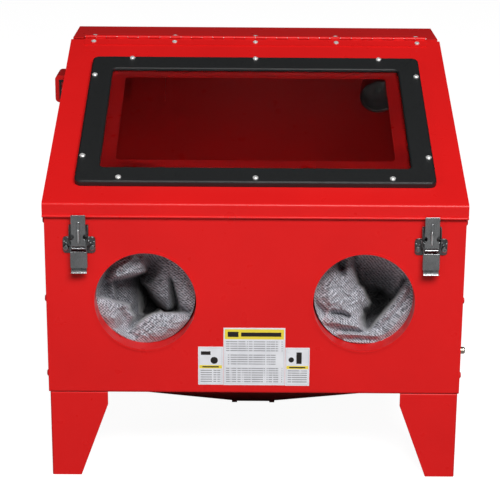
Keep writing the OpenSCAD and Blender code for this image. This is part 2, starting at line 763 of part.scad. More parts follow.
module switch_housing() color("black") difference() {
    union() {
        block([rocker_x - 9.5, switch_y[0] - 2, rocker_z - 13.5],
              [rocker_x + 9.5, switch_y[0], rocker_z + 13.5]);
        block([rocker_x - 8, switch_y[0], rocker_z - 12],
              [rocker_x + 8, switch_y[0] + 20, rocker_z + 12]);
    }
    block([rocker_x - 6.7, switch_y[0] - 3, rocker_z - 11],
          [rocker_x + 6.7, switch_y[0] + 12, rocker_z + 11]);
    x_cylinder([rocker_x - 8, rocker_y, rocker_z], 1.5, 16);
}

// Rocker in its off position, with the axle that turns in the housing's side walls
module switch_rocker() color("red") translate([rocker_x, rocker_y, rocker_z]) rotate([-rocker_tilt, 0, 0]) {
    rotate([90, 0, 90]) translate([0, 0, -6.4]) linear_extrude(12.8)
        polygon([[-2.6, 0], [-5.2, 9.2], [-3, 10], [3, 7], [5, 0], [3, -7], [-3, -10], [-5.2, -9.2]]);
    x_cylinder([-7.8, 0, 0], 1.45, 15.6);
}

module power_inlet() color("black") translate([rocker_x, switch_y[1], rocker_z]) rotate([-90, 0, 0])
    difference() {
        union() {
            translate([0, 0, -5]) cylinder(r = 4, h = 5);
            cylinder(r = 6.5, h = 2, $fn = 6);
            cylinder(r = 4, h = 5);
        }
        translate([0, 0, -3]) cylinder(r = 2.8, h = 9);
    }

// ---- lamp ----

// Frame of the lamp: +Z runs out of the lens, towards the front and down
module at_lamp() { translate(lamp_at) rotate([90 + lamp_tilt, 0, 0]) children(); }

module lamp_housing() color("gray") at_lamp() difference() {
    translate([0, 0, -lamp_length]) rotate_extrude($fn = 64)
        polygon([[0, 0], [14, 0], [17, 3], [24, 18], [25.5, 26], [lamp_radius - 1, lamp_length - 5],
                 [lamp_radius, lamp_length - 4], [lamp_radius, lamp_length], [24, lamp_length],
                 [24, 28], [21.5, 19], [12, 6], [0, 6]]);
    translate([0, 0, -3]) cylinder(r = 25.2, h = 5);
}

module lamp_bulb() color("white") at_lamp() {
    translate([0, 0, -lamp_length + 6]) cylinder(r = 5.5, h = 12);
    translate([0, 0, -lamp_length + 18]) cylinder(r = 4.2, h = 8);
    translate([0, 0, -lamp_length + 26]) sphere(4.2);
}

module lamp_lens() color("white", 0.5) at_lamp() translate([0, 0, -3]) cylinder(r = 25, h = 2.5);

module lamp_bracket() color("gray") {
    elbow = lamp_at + (lamp_length + 12) * [0, cos(lamp_tilt), sin(lamp_tilt)];
    wall = rear_y - sheet - 0.05;
    difference() {
        union() {
            at_lamp() translate([0, 0, -lamp_length - 14]) cylinder(r = 5, h = 14);
            translate(elbow) sphere(6.5);
            y_cylinder(elbow, 5, wall - elbow[1]);
            y_cylinder([elbow[0], wall - 3, elbow[2]], 16, 3);
        }
        for (a = [0:120:240]) translate([elbow[0] + 11 * cos(a), rear_y - 10, elbow[2] + 11 * sin(a)])
            rotate([-90, 0, 0]) cylinder(r = 1.6, h = 20);
    }
}

// ---- exhaust ----

module exhaust_port() color("red") difference() {
    union() {
        y_cylinder([exhaust_x, rear_y, exhaust_z], 29.5, 1.5);
        y_cylinder([exhaust_x, rear_y - sheet - 3, exhaust_z], exhaust_radius, exhaust_length + sheet + 3);
    }
    y_cylinder([exhaust_x, rear_y - 10, exhaust_z], exhaust_radius - 1.5, exhaust_length + 20);
    at_exhaust_screws() translate([0, 0, -cut]) cylinder(r = screw_hole, h = 4);
}

module exhaust_screws() color("silver") at_exhaust_screws() translate([0, 0, sheet]) pan_screw(5);

module exhaust_baffle() color("darkred") translate([exhaust_x, rear_y - sheet, exhaust_z]) {
    half_x = 25;
    half_z = 23;
    out = 16;
    block([-half_x, -out, -half_z], [half_x, -out + sheet, half_z]);
    for (x = [-half_x, half_x - sheet]) block([x, -out + sheet, -half_z], [x + sheet, 0, half_z]);
    for (x = [-half_x - 8, half_x]) block([x, -sheet, -half_z], [x + 8, 0, half_z]);
}

// ---- air supply, hoses and gun ----

module air_inlet_fitting() color("silver") translate([half_w, air_y, air_z]) rotate([0, 90, 0]) difference() {
    union() {
        translate([0, 0, -14]) cylinder(r = 6.5, h = 14);
        cylinder(r = 9.5, h = 5, $fn = 6);
        translate([0, 0, -sheet - 4]) cylinder(r = 9.5, h = 4, $fn = 6);
        translate([0, 0, barb_end - half_w]) cylinder(r = air_hose_radius, h = half_w - barb_end);
        translate([0, 0, 5]) cylinder(r = 4.5, h = 10);
        translate([0, 0, 15]) cylinder(r1 = 4.5, r2 = 3.4, h = 1.5);
    }
    translate([0, 0, -30]) cylinder(r = 2.5, h = 60);
}

module air_hose() color("dimgray") hose(air_route, air_hose_radius, 8, 2);
module media_hose() color("lightgray") hose(media_route, media_hose_radius, 10, 2);

module pickup_tube() color("silver") {
    fall = atan((body_z + sheet - outlet_z) / (hopper_half_x - outlet_half));
    translate(media_route[0]) rotate([0, 90 + fall, 0]) difference() {
        translate([0, 0, 0.1]) cylinder(r = 6.5, h = 79);
        translate([0, 0, -cut]) cylinder(r = 5.2, h = 84);
    }
}

module gun_body() color("silver") difference() {
    union() {
        x_cylinder([gun_rear, gun_y, gun_z], gun_radius, gun_front - gun_rear - 10);
        x_cylinder([gun_front - 10, gun_y, gun_z], 11, 10);
        x_cylinder([gun_rear - 6, gun_y, gun_z], 10, 6);
        x_cylinder([gun_rear - 14, gun_y, gun_z], media_hose_radius, 9);
        // grip, its air inlet and the clevis of the trigger
        translate([handle_x, gun_y - 6, gun_z]) rotate([90, 0, 0]) linear_extrude(gun_y - 6 - handle_end)
            rounded_rect([-11, -9], [11, 9], 6);
        y_cylinder([handle_x, handle_end - 10, gun_z], 6, 12);
        for (z = [-7.5, 5.3]) translate([trigger_x, trigger_y, gun_z + z]) {
            cylinder(r = 5, h = 2.2);
            translate([-5, 0, 0]) cube([10, 10, 2.2]);
        }
    }
    x_cylinder([gun_front - 20, gun_y, gun_z], 6.2, 30);
    translate([trigger_x, trigger_y, gun_z - 10]) cylinder(r = 1.6, h = 20);
}

module gun_nozzle() color("white") difference() {
    union() {
        x_cylinder([gun_front - 15, gun_y, gun_z], 6, 15);
        x_cylinder([gun_front, gun_y, gun_z], 9, 5);
        x_cylinder([gun_front + 5, gun_y, gun_z], 6, 22);
    }
    x_cylinder([gun_front - 30, gun_y, gun_z], 3, 80);
}

// Trigger and the pin it turns with
module gun_trigger() color("black") translate([trigger_x, trigger_y, gun_z]) {
    translate([0, 0, -5]) linear_extrude(10) difference() {
        union() {
            circle(4.6);
            polygon([[-3.5, 0], [4.6, 0], [6, -20], [9, -48], [14, -56], [9, -58], [4, -50], [0, -22]]);
        }
        translate([14, -28]) circle(8);
    }
    translate([0, 0, -8]) cylinder(r = 1.55, h = 16);
}

// ---- plates on the front ----

module placards() color("white") for (p = [
        [-38.4, 10.5, 38.4, 86.7], [-70, 10.9, -38.7, 61.5], [38.7, 10.1, 69, 60.7]])
    block([p[0], front_y - 0.3, body_z + p[1]], [p[2], front_y, body_z + p[3]]);

front_panel();
side_panel(-1);  // left_side_panel
side_panel(1);  // right_side_panel
rear_panel();
top_panel();
hopper();
gate_runners();
hopper_gate();
grate();
leg(-1, -1);  // leg_front_left
leg(1, -1);  // leg_front_right
leg(-1, 1);  // leg_rear_left
leg(1, 1);  // leg_rear_right
leg_bolts();
panel_screws();
glove_collar(-1);  // left_glove_collar
glove_collar(1);  // right_glove_collar
glove(-1);  // left_glove
glove(1);  // right_glove
glove_clamp(-1);  // left_glove_clamp
glove_clamp(1);  // right_glove_clamp
hinge_body_leaf();
hinge_lid_leaf();
hinge_pin();
hinge_body_screws();
hinge_lid_screws();
lid_gasket();
lid_panel();
window_frame();
window_glass();
window_retainer();
window_screws();
latch_base(-1);  // left_latch_base
latch_base(1);  // right_latch_base
latch_screws();
latch_lever(-1);  // left_latch_lever
latch_lever(1);  // right_latch_lever
latch_hook(-1);  // left_latch_hook
latch_hook(1);  // right_latch_hook
switch_box();
switch_housing();
switch_rocker();
power_inlet();
lamp_bracket();
lamp_housing();
lamp_bulb();
lamp_lens();
exhaust_port();
exhaust_baffle();
exhaust_screws();
air_inlet_fitting();
air_hose();
media_hose();
pickup_tube();
gun_body();
gun_nozzle();
gun_trigger();
placards();
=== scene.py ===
import json
import math

import bmesh
import bpy
import numpy as np
from mathutils import Matrix, Vector, geometry, noise

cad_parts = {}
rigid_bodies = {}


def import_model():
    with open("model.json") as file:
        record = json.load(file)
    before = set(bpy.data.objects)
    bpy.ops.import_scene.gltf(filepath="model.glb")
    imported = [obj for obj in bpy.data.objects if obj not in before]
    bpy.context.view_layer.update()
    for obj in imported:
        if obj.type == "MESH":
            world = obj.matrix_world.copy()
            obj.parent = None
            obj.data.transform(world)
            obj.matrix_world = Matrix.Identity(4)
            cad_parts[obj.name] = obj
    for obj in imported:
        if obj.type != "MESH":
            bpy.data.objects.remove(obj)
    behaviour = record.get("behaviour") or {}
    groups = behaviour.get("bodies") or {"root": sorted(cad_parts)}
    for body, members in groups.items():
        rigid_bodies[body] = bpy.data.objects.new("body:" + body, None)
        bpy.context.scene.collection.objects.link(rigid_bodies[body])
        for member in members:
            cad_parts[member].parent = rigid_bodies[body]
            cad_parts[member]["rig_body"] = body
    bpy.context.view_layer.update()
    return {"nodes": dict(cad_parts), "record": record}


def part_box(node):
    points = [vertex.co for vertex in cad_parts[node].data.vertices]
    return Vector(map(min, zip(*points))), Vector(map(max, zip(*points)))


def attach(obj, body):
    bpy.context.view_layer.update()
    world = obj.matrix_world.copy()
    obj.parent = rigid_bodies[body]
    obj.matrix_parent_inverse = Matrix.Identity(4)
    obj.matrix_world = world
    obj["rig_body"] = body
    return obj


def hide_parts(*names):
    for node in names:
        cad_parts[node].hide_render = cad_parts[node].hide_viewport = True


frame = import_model()

MM = 0.001

# Places taken from the frame
FRONT_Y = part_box("front_panel")[0].y
PORT = {side: (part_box(side + "_glove_collar")[0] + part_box(side + "_glove_collar")[1]) / 2
        for side in ("left", "right")}
CABINET = "cabinet"

# ---------------------------------------------------------------- camera


def make_camera():
    """The camera, from its place, its turn to the right, its dip and its roll."""
    place = Vector((-0.0096, -2.1727, 0.8944))
    yaw, pitch, roll = (math.radians(angle) for angle in (0.10, 17.07, 0.40))
    ahead = Vector((math.sin(yaw) * math.cos(pitch), math.cos(yaw) * math.cos(pitch), -math.sin(pitch)))
    level = Vector((math.cos(yaw), -math.sin(yaw), 0))
    above = level.cross(ahead)
    right = level * math.cos(roll) + above * math.sin(roll)
    up = above * math.cos(roll) - level * math.sin(roll)
    data = bpy.data.cameras.new("camera")
    data.sensor_width = 36
    data.lens = 118.9
    data.clip_start, data.clip_end = 0.1, 60
    camera = bpy.data.objects.new("camera", data)
    camera.matrix_world = Matrix((right, up, -ahead)).transposed().to_4x4()
    camera.location = place
    bpy.context.scene.collection.objects.link(camera)
    bpy.context.scene.camera = camera


make_camera()

# ---------------------------------------------------------------- mesh helpers


def new_object(name, mesh, material, body):
    """Links a mesh as a piece that rides on a body."""
    piece = bpy.data.objects.new(name, mesh)
    bpy.context.scene.collection.objects.link(piece)
    if material is not None:
        piece.data.materials.clear()
        piece.data.materials.append(material)
    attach(piece, body)
    return piece


def mesh_from(name, points, faces, uvs=None):
    """A mesh from points and faces, with one UV per corner of each face if given."""
    mesh = bpy.data.meshes.new(name)
    mesh.from_pydata([tuple(p) for p in points], [], faces)
    if uvs is not None:
        layer = mesh.uv_layers.new(name="UVMap")
        layer.data.foreach_set("uv", np.array(uvs, np.float32).ravel())
    mesh.polygons.foreach_set("use_smooth", [True] * len(mesh.polygons))
    mesh.update()
    return mesh


def settle(piece):
    """Applies a piece's modifiers, so that the mesh is what shows."""
    bpy.context.view_layer.update()
    graph = bpy.context.evaluated_depsgraph_get()
    mesh = bpy.data.meshes.new_from_object(piece.evaluated_get(graph))
    piece.modifiers.clear()
    piece.data = mesh
    return piece


def weld(piece):
    """Joins the points of a piece that lie on one another."""
    form = bmesh.new()
    form.from_mesh(piece.data)
    bmesh.ops.remove_doubles(form, verts=form.verts, dist=1e-6)
    form.to_mesh(piece.data)
    form.free()
    return piece


# ---------------------------------------------------------------- hoses

AIR_HOSE_RADIUS = 4.5 * MM
MEDIA_HOSE_RADIUS = 7 * MM

# The routes of part.scad, in metres
AIR_ROUTE = [
    (0.2359, -0.1575, 0.141), (0.226, -0.1575, 0.141), (0.214, -0.1575, 0.140), (0.202, -0.154, 0.138),
    (0.192, -0.147, 0.1345), (0.1845, -0.137, 0.1305), (0.181, -0.125, 0.127), (0.180, -0.111, 0.1247),
    (0.180, -0.095, 0.124), (0.180, -0.078, 0.1237), (0.179, -0.062, 0.1237), (0.174, -0.046, 0.1237),
    (0.163, -0.032, 0.1237), (0.148, -0.0235, 0.1237), (0.130, -0.021, 0.1237), (0.110, -0.022, 0.1237),
    (0.090, -0.024, 0.1237), (0.070, -0.026, 0.1237), (0.050, -0.027, 0.1237), (0.030, -0.027, 0.1237),
    (0.011, -0.0255, 0.124), (-0.006, -0.0195, 0.125), (-0.019, -0.009, 0.127), (-0.0265, 0.004, 0.130),
    (-0.0289, 0.018, 0.1336), (-0.029, 0.0279, 0.134)]
MEDIA_ROUTE = [
    (-0.092, 0, 0.060), (-0.110, 0, 0.068), (-0.128, 0, 0.076), (-0.146, 0.001, 0.084),
    (-0.162, 0.007, 0.092), (-0.176, 0.018, 0.1005), (-0.187, 0.033, 0.109), (-0.193, 0.052, 0.1175),
    (-0.194, 0.072, 0.124), (-0.188, 0.092, 0.1275), (-0.175, 0.108, 0.129), (-0.156, 0.118, 0.130),
    (-0.132, 0.122, 0.131), (-0.106, 0.1213, 0.1326), (-0.084, 0.1201, 0.1338), (-0.0642, 0.120, 0.134)]


def smooth_route(points, between):
    """A Catmull-Rom curve through the points, with that many steps between two of them."""
    p = [Vector(q) for q in points]
    line = []
    for i in range(len(p) - 1):
        a, b, c, d = p[max(i - 1, 0)], p[i], p[i + 1], p[min(i + 2, len(p) - 1)]
        for k in range(between):
            u = k / between
            line.append(0.5 * (2 * b + (c - a) * u + (2 * a - 5 * b + 4 * c - d) * u ** 2
                               + (3 * b - a - 3 * c + d) * u ** 3))
    return line + [p[-1]]


def hose(name, route, radius, material, sides=24):
    """A round tube along a route. U goes once round it and V is the length in metres."""
    line = smooth_route(route, 6)
    side, points, along = None, [], [0.0]
    for i, place in enumerate(line):
        ahead = (line[min(i + 1, len(line) - 1)] - line[max(i - 1, 0)]).normalized()
        side = ahead.cross(Vector((0, 0, 1))) if side is None else side - ahead * side.dot(ahead)
        side.normalize()
        other = ahead.cross(side)
        for k in range(sides):
            turn = 2 * math.pi * k / sides
            points.append(place + radius * (math.cos(turn) * side + math.sin(turn) * other))
        if i:
            along.append(along[-1] + (place - line[i - 1]).length)
    faces, uvs = [], []
    for i in range(len(line) - 1):
        for k in range(sides):
            n = (k + 1) % sides
            faces.append((i * sides + k, i * sides + n, (i + 1) * sides + n, (i + 1) * sides + k))
            uvs += [(k / sides, along[i]), ((k + 1) / sides, along[i]),
                    ((k + 1) / sides, along[i + 1]), (k / sides, along[i + 1])]
    piece = new_object(name, mesh_from(name, points, faces, uvs), material, CABINET)
    return piece, line


# ---------------------------------------------------------------- materials


class Shader:
    """A node material around one Principled shader, with short calls for the nodes that feed it."""

    def __init__(self, name, colour, roughness=0.5, metallic=0.0, **plain):
        self.material = bpy.data.materials.new(name)
        self.material.use_nodes = True
        self.nodes = self.material.node_tree.nodes
        self.links = self.material.node_tree.links
        self.nodes.clear()
        self.out = self.nodes.new("ShaderNodeOutputMaterial")
        self.main = self.nodes.new("ShaderNodeBsdfPrincipled")
        self.links.new(self.main.outputs[0], self.out.inputs["Surface"])
        self.main.inputs["Base Color"].default_value = (*colour, 1)
        self.main.inputs["Roughness"].default_value = roughness
        self.main.inputs["Metallic"].default_value = metallic
        for key, value in plain.items():
            self.main.inputs[key.replace("_", " ")].default_value = value

    def put(self, socket, value):
        """Links an output to an input, or sets the input's value."""
        if isinstance(value, bpy.types.NodeSocket):
            self.links.new(value, socket)
        elif isinstance(value, tuple) and len(value) == 3 and socket.type == "RGBA":
            socket.default_value = (*value, 1)
        else:
            socket.default_value = value

    def place(self, uv=False, stretch=(1, 1, 1)):
        """Where a point is: in metres in the frame, or by its UV, stretched along each axis."""
        where = self.nodes.new("ShaderNodeTexCoord").outputs["UV" if uv else "Object"]
        if tuple(stretch) == (1, 1, 1):
            return where
        mapping = self.nodes.new("ShaderNodeMapping")
        self.put(mapping.inputs["Vector"], where)
        mapping.inputs["Scale"].default_value = stretch
        return mapping.outputs[0]

    def noise(self, per_metre, where=None, detail=2.0, distortion=0.0):
        node = self.nodes.new("ShaderNodeTexNoise")
        self.put(node.inputs["Vector"], self.place() if where is None else where)
        node.inputs["Scale"].default_value = per_metre
        node.inputs["Detail"].default_value = detail
        node.inputs["Distortion"].default_value = distortion
        return node.outputs["Fac"]

    def cells(self, per_metre, where=None, feature="F1"):
        node = self.nodes.new("ShaderNodeTexVoronoi")
        node.feature = feature
        self.put(node.inputs["Vector"], self.place() if where is None else where)
        node.inputs["Scale"].default_value = per_metre
        return node.outputs["Distance"]

    def part(self, vector, axis):
        """One coordinate of a vector."""
        node = self.nodes.new("ShaderNodeSeparateXYZ")
        self.put(node.inputs[0], vector)
        return node.outputs[axis]

    def math(self, operation, a, b=0.0, c=0.0):
        node = self.nodes.new("ShaderNodeMath")
        node.operation = operation
        for socket, value in zip(node.inputs, (a, b, c)):
            self.put(socket, value)
        return node.outputs[0]

    def ramp(self, value, low, high, out_low=0.0, out_high=1.0):
        """A value mapped from one range to another, kept inside it."""
        node = self.nodes.new("ShaderNodeMapRange")
        for socket, number in zip(node.inputs, (value, low, high, out_low, out_high)):
            self.put(socket, number)
        return node.outputs[0]

    def mix(self, share, first, second):
        """A colour between two colours."""
        node = self.nodes.new("ShaderNodeMix")
        node.data_type = "RGBA"
        self.put(node.inputs["Factor"], share)
        self.put(node.inputs[6], first)
        self.put(node.inputs[7], second)
        return node.outputs[2]

    def bump(self, height, strength, distance, under=None):
        node = self.nodes.new("ShaderNodeBump")
        self.put(node.inputs["Height"], height)
        node.inputs["Strength"].default_value = strength
        node.inputs["Distance"].default_value = distance
        if under is not None:
            self.links.new(under, node.inputs["Normal"])
        return node.outputs[0]

    def set(self, name, value):
        self.put(self.main.inputs[name], value)
        return self


def powder_coat(name, colour, roughness=0.30):
    """Powder coat: an even colour with a faint mottle, orange peel and uneven gloss."""
    s = Shader(name, colour, roughness, Specular_IOR_Level=0.22)
    mottle = s.noise(9, detail=3)
    darker = tuple(c * 0.93 for c in colour)
    s.set("Base Color", s.mix(s.ramp(mottle, 0.3, 0.7), colour, darker))
    gloss = s.noise(45, detail=2)
    s.set("Roughness", s.ramp(gloss, 0.3, 0.7, roughness - 0.03, roughness + 0.05))
    peel = s.noise(420, detail=1)
    s.set("Normal", s.bump(peel, 0.10, 0.4 * MM))
    return s.material


def grained_plastic(name, colour, roughness=0.42, grain=900, strength=0.35):
    """Moulded plastic with a fine leather grain."""
    s = Shader(name, colour, roughness, Specular_IOR_Level=0.45)
    cells = s.cells(grain, feature="SMOOTH_F1")
    fine = s.noise(grain * 1.7, detail=2)
    height = s.math("ADD", cells, s.math("MULTIPLY", fine, 0.5))
    lighter = tuple(min(1, c * 1.9 + 0.002) for c in colour)
    s.set("Base Color", s.mix(s.ramp(height, 0.35, 1.0), lighter, colour))
    s.set("Roughness", s.ramp(fine, 0.3, 0.7, roughness - 0.06, roughness + 0.10))
    s.set("Normal", s.bump(height, strength, 0.3 * MM))
    return s.material


def smooth_plastic(name, colour, roughness=0.28):
    """Plain moulded plastic: faint flow mottle and a few fine scuffs."""
    s = Shader(name, colour, roughness)
    s.set("Base Color", s.mix(s.ramp(s.noise(60), 0.35, 0.65), colour, tuple(c * 0.88 for c in colour)))
    s.set("Roughness", s.ramp(s.noise(300, detail=3), 0.3, 0.7, roughness - 0.05, roughness + 0.09))
    s.set("Normal", s.bump(s.noise(900), 0.05, 0.1 * MM))
    return s.material


def brushed_metal(name, colour, roughness=0.30, grain=(2600, 2600, 90)):
    """Metal with fine lines along one axis, and stains that change its gloss."""
    s = Shader(name, colour, roughness, metallic=1.0)
    lines = s.noise(1.0, s.place(stretch=grain), detail=3)
    stain = s.noise(70, detail=3)
    s.set("Base Color", s.mix(s.ramp(stain, 0.35, 0.7), colour, tuple(c * 0.80 for c in colour)))
    s.set("Roughness", s.math("ADD", s.ramp(lines, 0.25, 0.75, roughness - 0.10, roughness + 0.10),
                              s.ramp(stain, 0.4, 0.7, 0.0, 0.08)))
    s.set("Normal", s.bump(lines, 0.12, 0.08 * MM))
    return s.material


def zinc_plate(name, colour, roughness=0.33, metallic=1.0):
    """Zinc plating: pale spangle-like patches and a soft gloss."""
    s = Shader(name, colour, roughness, metallic)
    patches = s.cells(230)
    s.set("Base Color", s.mix(s.ramp(patches, 0.1, 0.7), colour, tuple(c * 0.78 for c in colour)))
    s.set("Roughness", s.ramp(s.noise(240, detail=3), 0.3, 0.7, roughness - 0.08, roughness + 0.12))
    s.set("Normal", s.bump(s.noise(1100), 0.08, 0.08 * MM))
    return s.material


def blasted_steel(name, colour):
    """Steel that abrasive has made matt: a fine pitted grain."""
    s = Shader(name, colour, 0.55, metallic=0.9)
    pits = s.noise(1400, detail=3)
    s.set("Base Color", s.mix(s.ramp(s.noise(35, detail=3), 0.3, 0.7), colour, tuple(c * 0.65 for c in colour)))
    s.set("Roughness", s.ramp(pits, 0.3, 0.7, 0.45, 0.68))
    s.set("Normal", s.bump(pits, 0.35, 0.15 * MM))
    return s.material


def rubber(name, colour, roughness=0.6):
    """Dull rubber with a fine grain and a faint bloom."""
    s = Shader(name, colour, roughness, Specular_IOR_Level=0.35)
    s.set("Base Color", s.mix(s.ramp(s.noise(50, detail=3), 0.3, 0.7), colour, tuple(c * 1.5 for c in colour)))
    s.set("Roughness", s.ramp(s.noise(500), 0.3, 0.7, roughness - 0.08, roughness + 0.10))
    s.set("Normal", s.bump(s.noise(1500, detail=2), 0.15, 0.12 * MM))
    return s.material


def foam(name, colour):
    """Closed-cell sealing foam."""
    s = Shader(name, colour, 0.9, Specular_IOR_Level=0.2)
    cells = s.cells(1300)
    s.set("Base Color", s.mix(s.ramp(cells, 0.1, 0.6), tuple(c * 0.5 for c in colour), colour))
    s.set("Normal", s.bump(cells, 0.6, 0.4 * MM))
    return s.material


def hose_skin(name, colour, roughness, reinforced):
    """A hose's wall: fine ribs along it, or the crossed threads of a reinforced hose."""
    s = Shader(name, colour, roughness)
    around, along = (s.part(s.place(uv=True), axis) for axis in (0, 1))
    turns = s.math("MULTIPLY", around, 8.0)
    pitch = s.math("MULTIPLY", along, 110.0 if reinforced else 0.0)
    threads = [s.math("ABSOLUTE", s.math("SINE", s.math("MULTIPLY", s.math(way, turns, pitch), math.pi)))
               for way in ("ADD", "SUBTRACT")]
    height = s.math("MINIMUM", *threads)
    thread = s.ramp(height, 0.0, 0.22, 1.0, 0.0)
    s.set("Base Color", s.mix(thread, colour, tuple(min(1, c * 1.35 + 0.01) for c in colour)))
    s.set("Roughness", s.ramp(s.noise(160, detail=3), 0.3, 0.7, roughness - 0.05, roughness + 0.12))
    s.set("Normal", s.bump(s.math("ADD", thread, s.math("MULTIPLY", s.noise(700), 0.3)), 0.2, 0.2 * MM))
    return s.material


def clear_glass(name, tint, shade, roughness=0.0, ior=1.5):
    """Glass that lets a share of the lamps' light through to what it covers."""
    s = Shader(name, tint, roughness, Transmission_Weight=1.0, IOR=ior)
    through = s.nodes.new("ShaderNodeBsdfTransparent")
    through.inputs[0].default_value = (shade, shade, shade, 1)
    rays = s.nodes.new("ShaderNodeLightPath")
    both = s.nodes.new("ShaderNodeMixShader")
    s.put(both.inputs[0], rays.outputs["Is Shadow Ray"])
    s.put(both.inputs[1], s.main.outputs[0])
    s.put(both.inputs[2], through.outputs[0])
    s.put(s.out.inputs["Surface"], both.outputs[0])
    return s.material


# Print on the placards in mm: left, right, low, high, and for rules the pitch of the lines
YELLOW_BANDS = [(-36.8, 36.8, 185.6, 198.8), (-68.6, -40.3, 146.7, 151.0), (40.3, 67.6, 146.4, 150.6)]
DARK_BARS = [(-33.2, -19.8, 188.6, 195.4), (-16.6, 33.4, 189.2, 194.6), (-66.5, -54.5, 164.6, 169.4),
             (52.6, 59.2, 153.4, 168.6), (-64.8, -44.2, 147.9, 149.7), (43.8, 63.8, 147.5, 149.3)]
DARK_DOTS = [(-50.0, 157.4, 4.6), (46.2, 158.6, 3.4)]
RULE_BLOCKS = [(-35.2, 35.2, 169.4, 184.2), (-33.0, 27.0, 151.2, 166.2), (-35.2, 35.2, 128.6, 147.6),
               (-67.0, -41.8, 128.0, 145.4), (42.0, 66.0, 127.6, 145.0)]
RULE_PITCH = 2.95
FRAMES = [(-36.8, 36.8, 126.1, 198.9), (-68.6, -40.3, 126.4, 173.9), (40.3, 67.6, 125.6, 173.1)]


def printed_vinyl():
    """The placards: white vinyl with plain bands, bars and rules printed on it, and no words or signs."""
    s = Shader("placard_vinyl", (0.85, 0.86, 0.90), 0.32)
    x, z = (s.math("MULTIPLY", s.part(s.place(), axis), 1000.0) for axis in (0, 2))

    def patch(left, right, low, high):
        return s.math("MULTIPLY", s.math("COMPARE", x, (left + right) / 2, (right - left) / 2),
                      s.math("COMPARE", z, (low + high) / 2, (high - low) / 2))

    def any_of(masks):
        total = masks[0]
        for mask in masks[1:]:
            total = s.math("MAXIMUM", total, mask)
        return total

    line_at = s.math("FRACT", s.math("DIVIDE", s.math("SUBTRACT", z, 128.0), RULE_PITCH))
    lines = s.math("COMPARE", line_at, 0.42, 0.20)
    words = s.ramp(s.noise(330, s.place(stretch=(1, 1, 0.03)), detail=1), 0.36, 0.44)
    rules = s.math("MULTIPLY", s.math("MULTIPLY", lines, words), any_of([patch(*block) for block in RULE_BLOCKS]))
    frames = any_of([s.math("SUBTRACT", patch(a, b, c, d), patch(a + 0.35, b - 0.35, c + 0.35, d - 0.35))
                     for a, b, c, d in FRAMES])
    dots = [s.math("LESS_THAN", s.math("ADD", s.math("POWER", s.math("SUBTRACT", x, a), 2.0),
                                       s.math("POWER", s.math("SUBTRACT", z, b), 2.0)), r * r)
            for a, b, r in DARK_DOTS]
    paper = s.mix(s.ramp(s.noise(60), 0.35, 0.65), (0.85, 0.86, 0.90), (0.78, 0.79, 0.83))
    colour = s.mix(s.math("MULTIPLY", rules, 0.72), paper, (0.10, 0.10, 0.12))
    colour = s.mix(s.math("MULTIPLY", frames, 0.5), colour, (0.30, 0.31, 0.36))
    colour = s.mix(any_of([patch(*band) for band in YELLOW_BANDS]), colour, (0.88, 0.70, 0.06))
    colour = s.mix(any_of([patch(*bar) for bar in DARK_BARS] + dots), colour, (0.015, 0.012, 0.012))
    s.set("Base Color", colour)
    s.set("Roughness", s.ramp(s.noise(300, detail=3), 0.3, 0.7, 0.27, 0.40))
    s.set("Normal", s.bump(s.noise(900), 0.05, 0.1 * MM))
    return s.material


RED = (0.760, 0.0125, 0.0125)
MATERIALS = {
    "red_paint": powder_coat("red_powder_coat", RED),
    # the hopper, its gate and runners: the body's red darkened as painted shade, to the tone they show in the shadow
    # under the body
    "dark_red_paint": powder_coat("hopper_shaded_powder_coat", (0.21, 0.012, 0.012), 0.40),
    "grate_steel": blasted_steel("blasted_steel", (0.30, 0.30, 0.31)),
    "zinc": zinc_plate("zinc_plate", (0.66, 0.67, 0.69)),
    "white_screw": zinc_plate("bright_screw", (0.88, 0.88, 0.87), 0.28, 0.35),
    "latch_steel": brushed_metal("pressed_steel", (0.40, 0.41, 0.42), 0.24),
    # the latch bases: a darkened copy of the latch steel, painted shade for the base that sits behind the lever
    "latch_base": brushed_metal("latch_base_shaded_steel", (0.20, 0.205, 0.21), 0.28),
    # a pale copy of the latch steel for the hooks' ribs: painted highlight
    "painted_highlight_rib": brushed_metal("painted_highlight_rib", (0.90, 0.91, 0.92), 0.30),
    "glove_fabric": rubber("glove_stand_in", (0.10, 0.10, 0.11)),
    "gasket_foam": foam("gasket_foam", (0.030, 0.030, 0.032)),
    "frame_plastic": grained_plastic("grained_black_plastic", (0.0105, 0.0112, 0.0116)),
    "window_glass": clear_glass("window_glass", (0.69, 0.70, 0.71), 0.04),
    "black_plastic": smooth_plastic("black_plastic", (0.016, 0.016, 0.017)),
    "red_rocker": smooth_plastic("red_rocker", (0.42, 0.012, 0.012), 0.2),
    "lamp_metal": brushed_metal("lamp_aluminium", (0.52, 0.52, 0.53), 0.36, (300, 300, 2400)),
    "lamp_glass": clear_glass("lamp_glass", (0.93, 0.93, 0.91), 0.9, 0.25),
    "brass_fitting": brushed_metal("nickelled_brass", (0.72, 0.66, 0.55), 0.25, (90, 2600, 2600)),
    "hose_rubber": hose_skin("air_hose_rubber", (0.018, 0.018, 0.019), 0.45, False),
    "hose_pvc": hose_skin("reinforced_pvc", (0.50, 0.50, 0.47), 0.30, True),
    "gun_metal": blasted_steel("cast_aluminium", (0.52, 0.52, 0.53)),
    "nozzle_ceramic": smooth_plastic("nozzle_ceramic", (0.78, 0.76, 0.70), 0.22),
    "placard_vinyl": printed_vinyl(),
}
SLOT_OF = {part["node"]: part["material_slot"] for part in frame["record"]["subparts"]}


def dress_nodes():
    """Gives every CAD node the material of its slot."""
    for name, node in frame["nodes"].items():
        for material_slot in node.material_slots:
            material_slot.material = MATERIALS[SLOT_OF[name]]


dress_nodes()

# ---------------------------------------------------------------- cords

air_hose, air_line = hose("air_hose_line", AIR_ROUTE, AIR_HOSE_RADIUS, MATERIALS["hose_rubber"])
media_hose, media_line = hose("media_hose_line", MEDIA_ROUTE, MEDIA_HOSE_RADIUS,
                              MATERIALS["hose_pvc"])
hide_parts("air_hose")
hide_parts("media_hose")

# ---------------------------------------------------------------- gloves

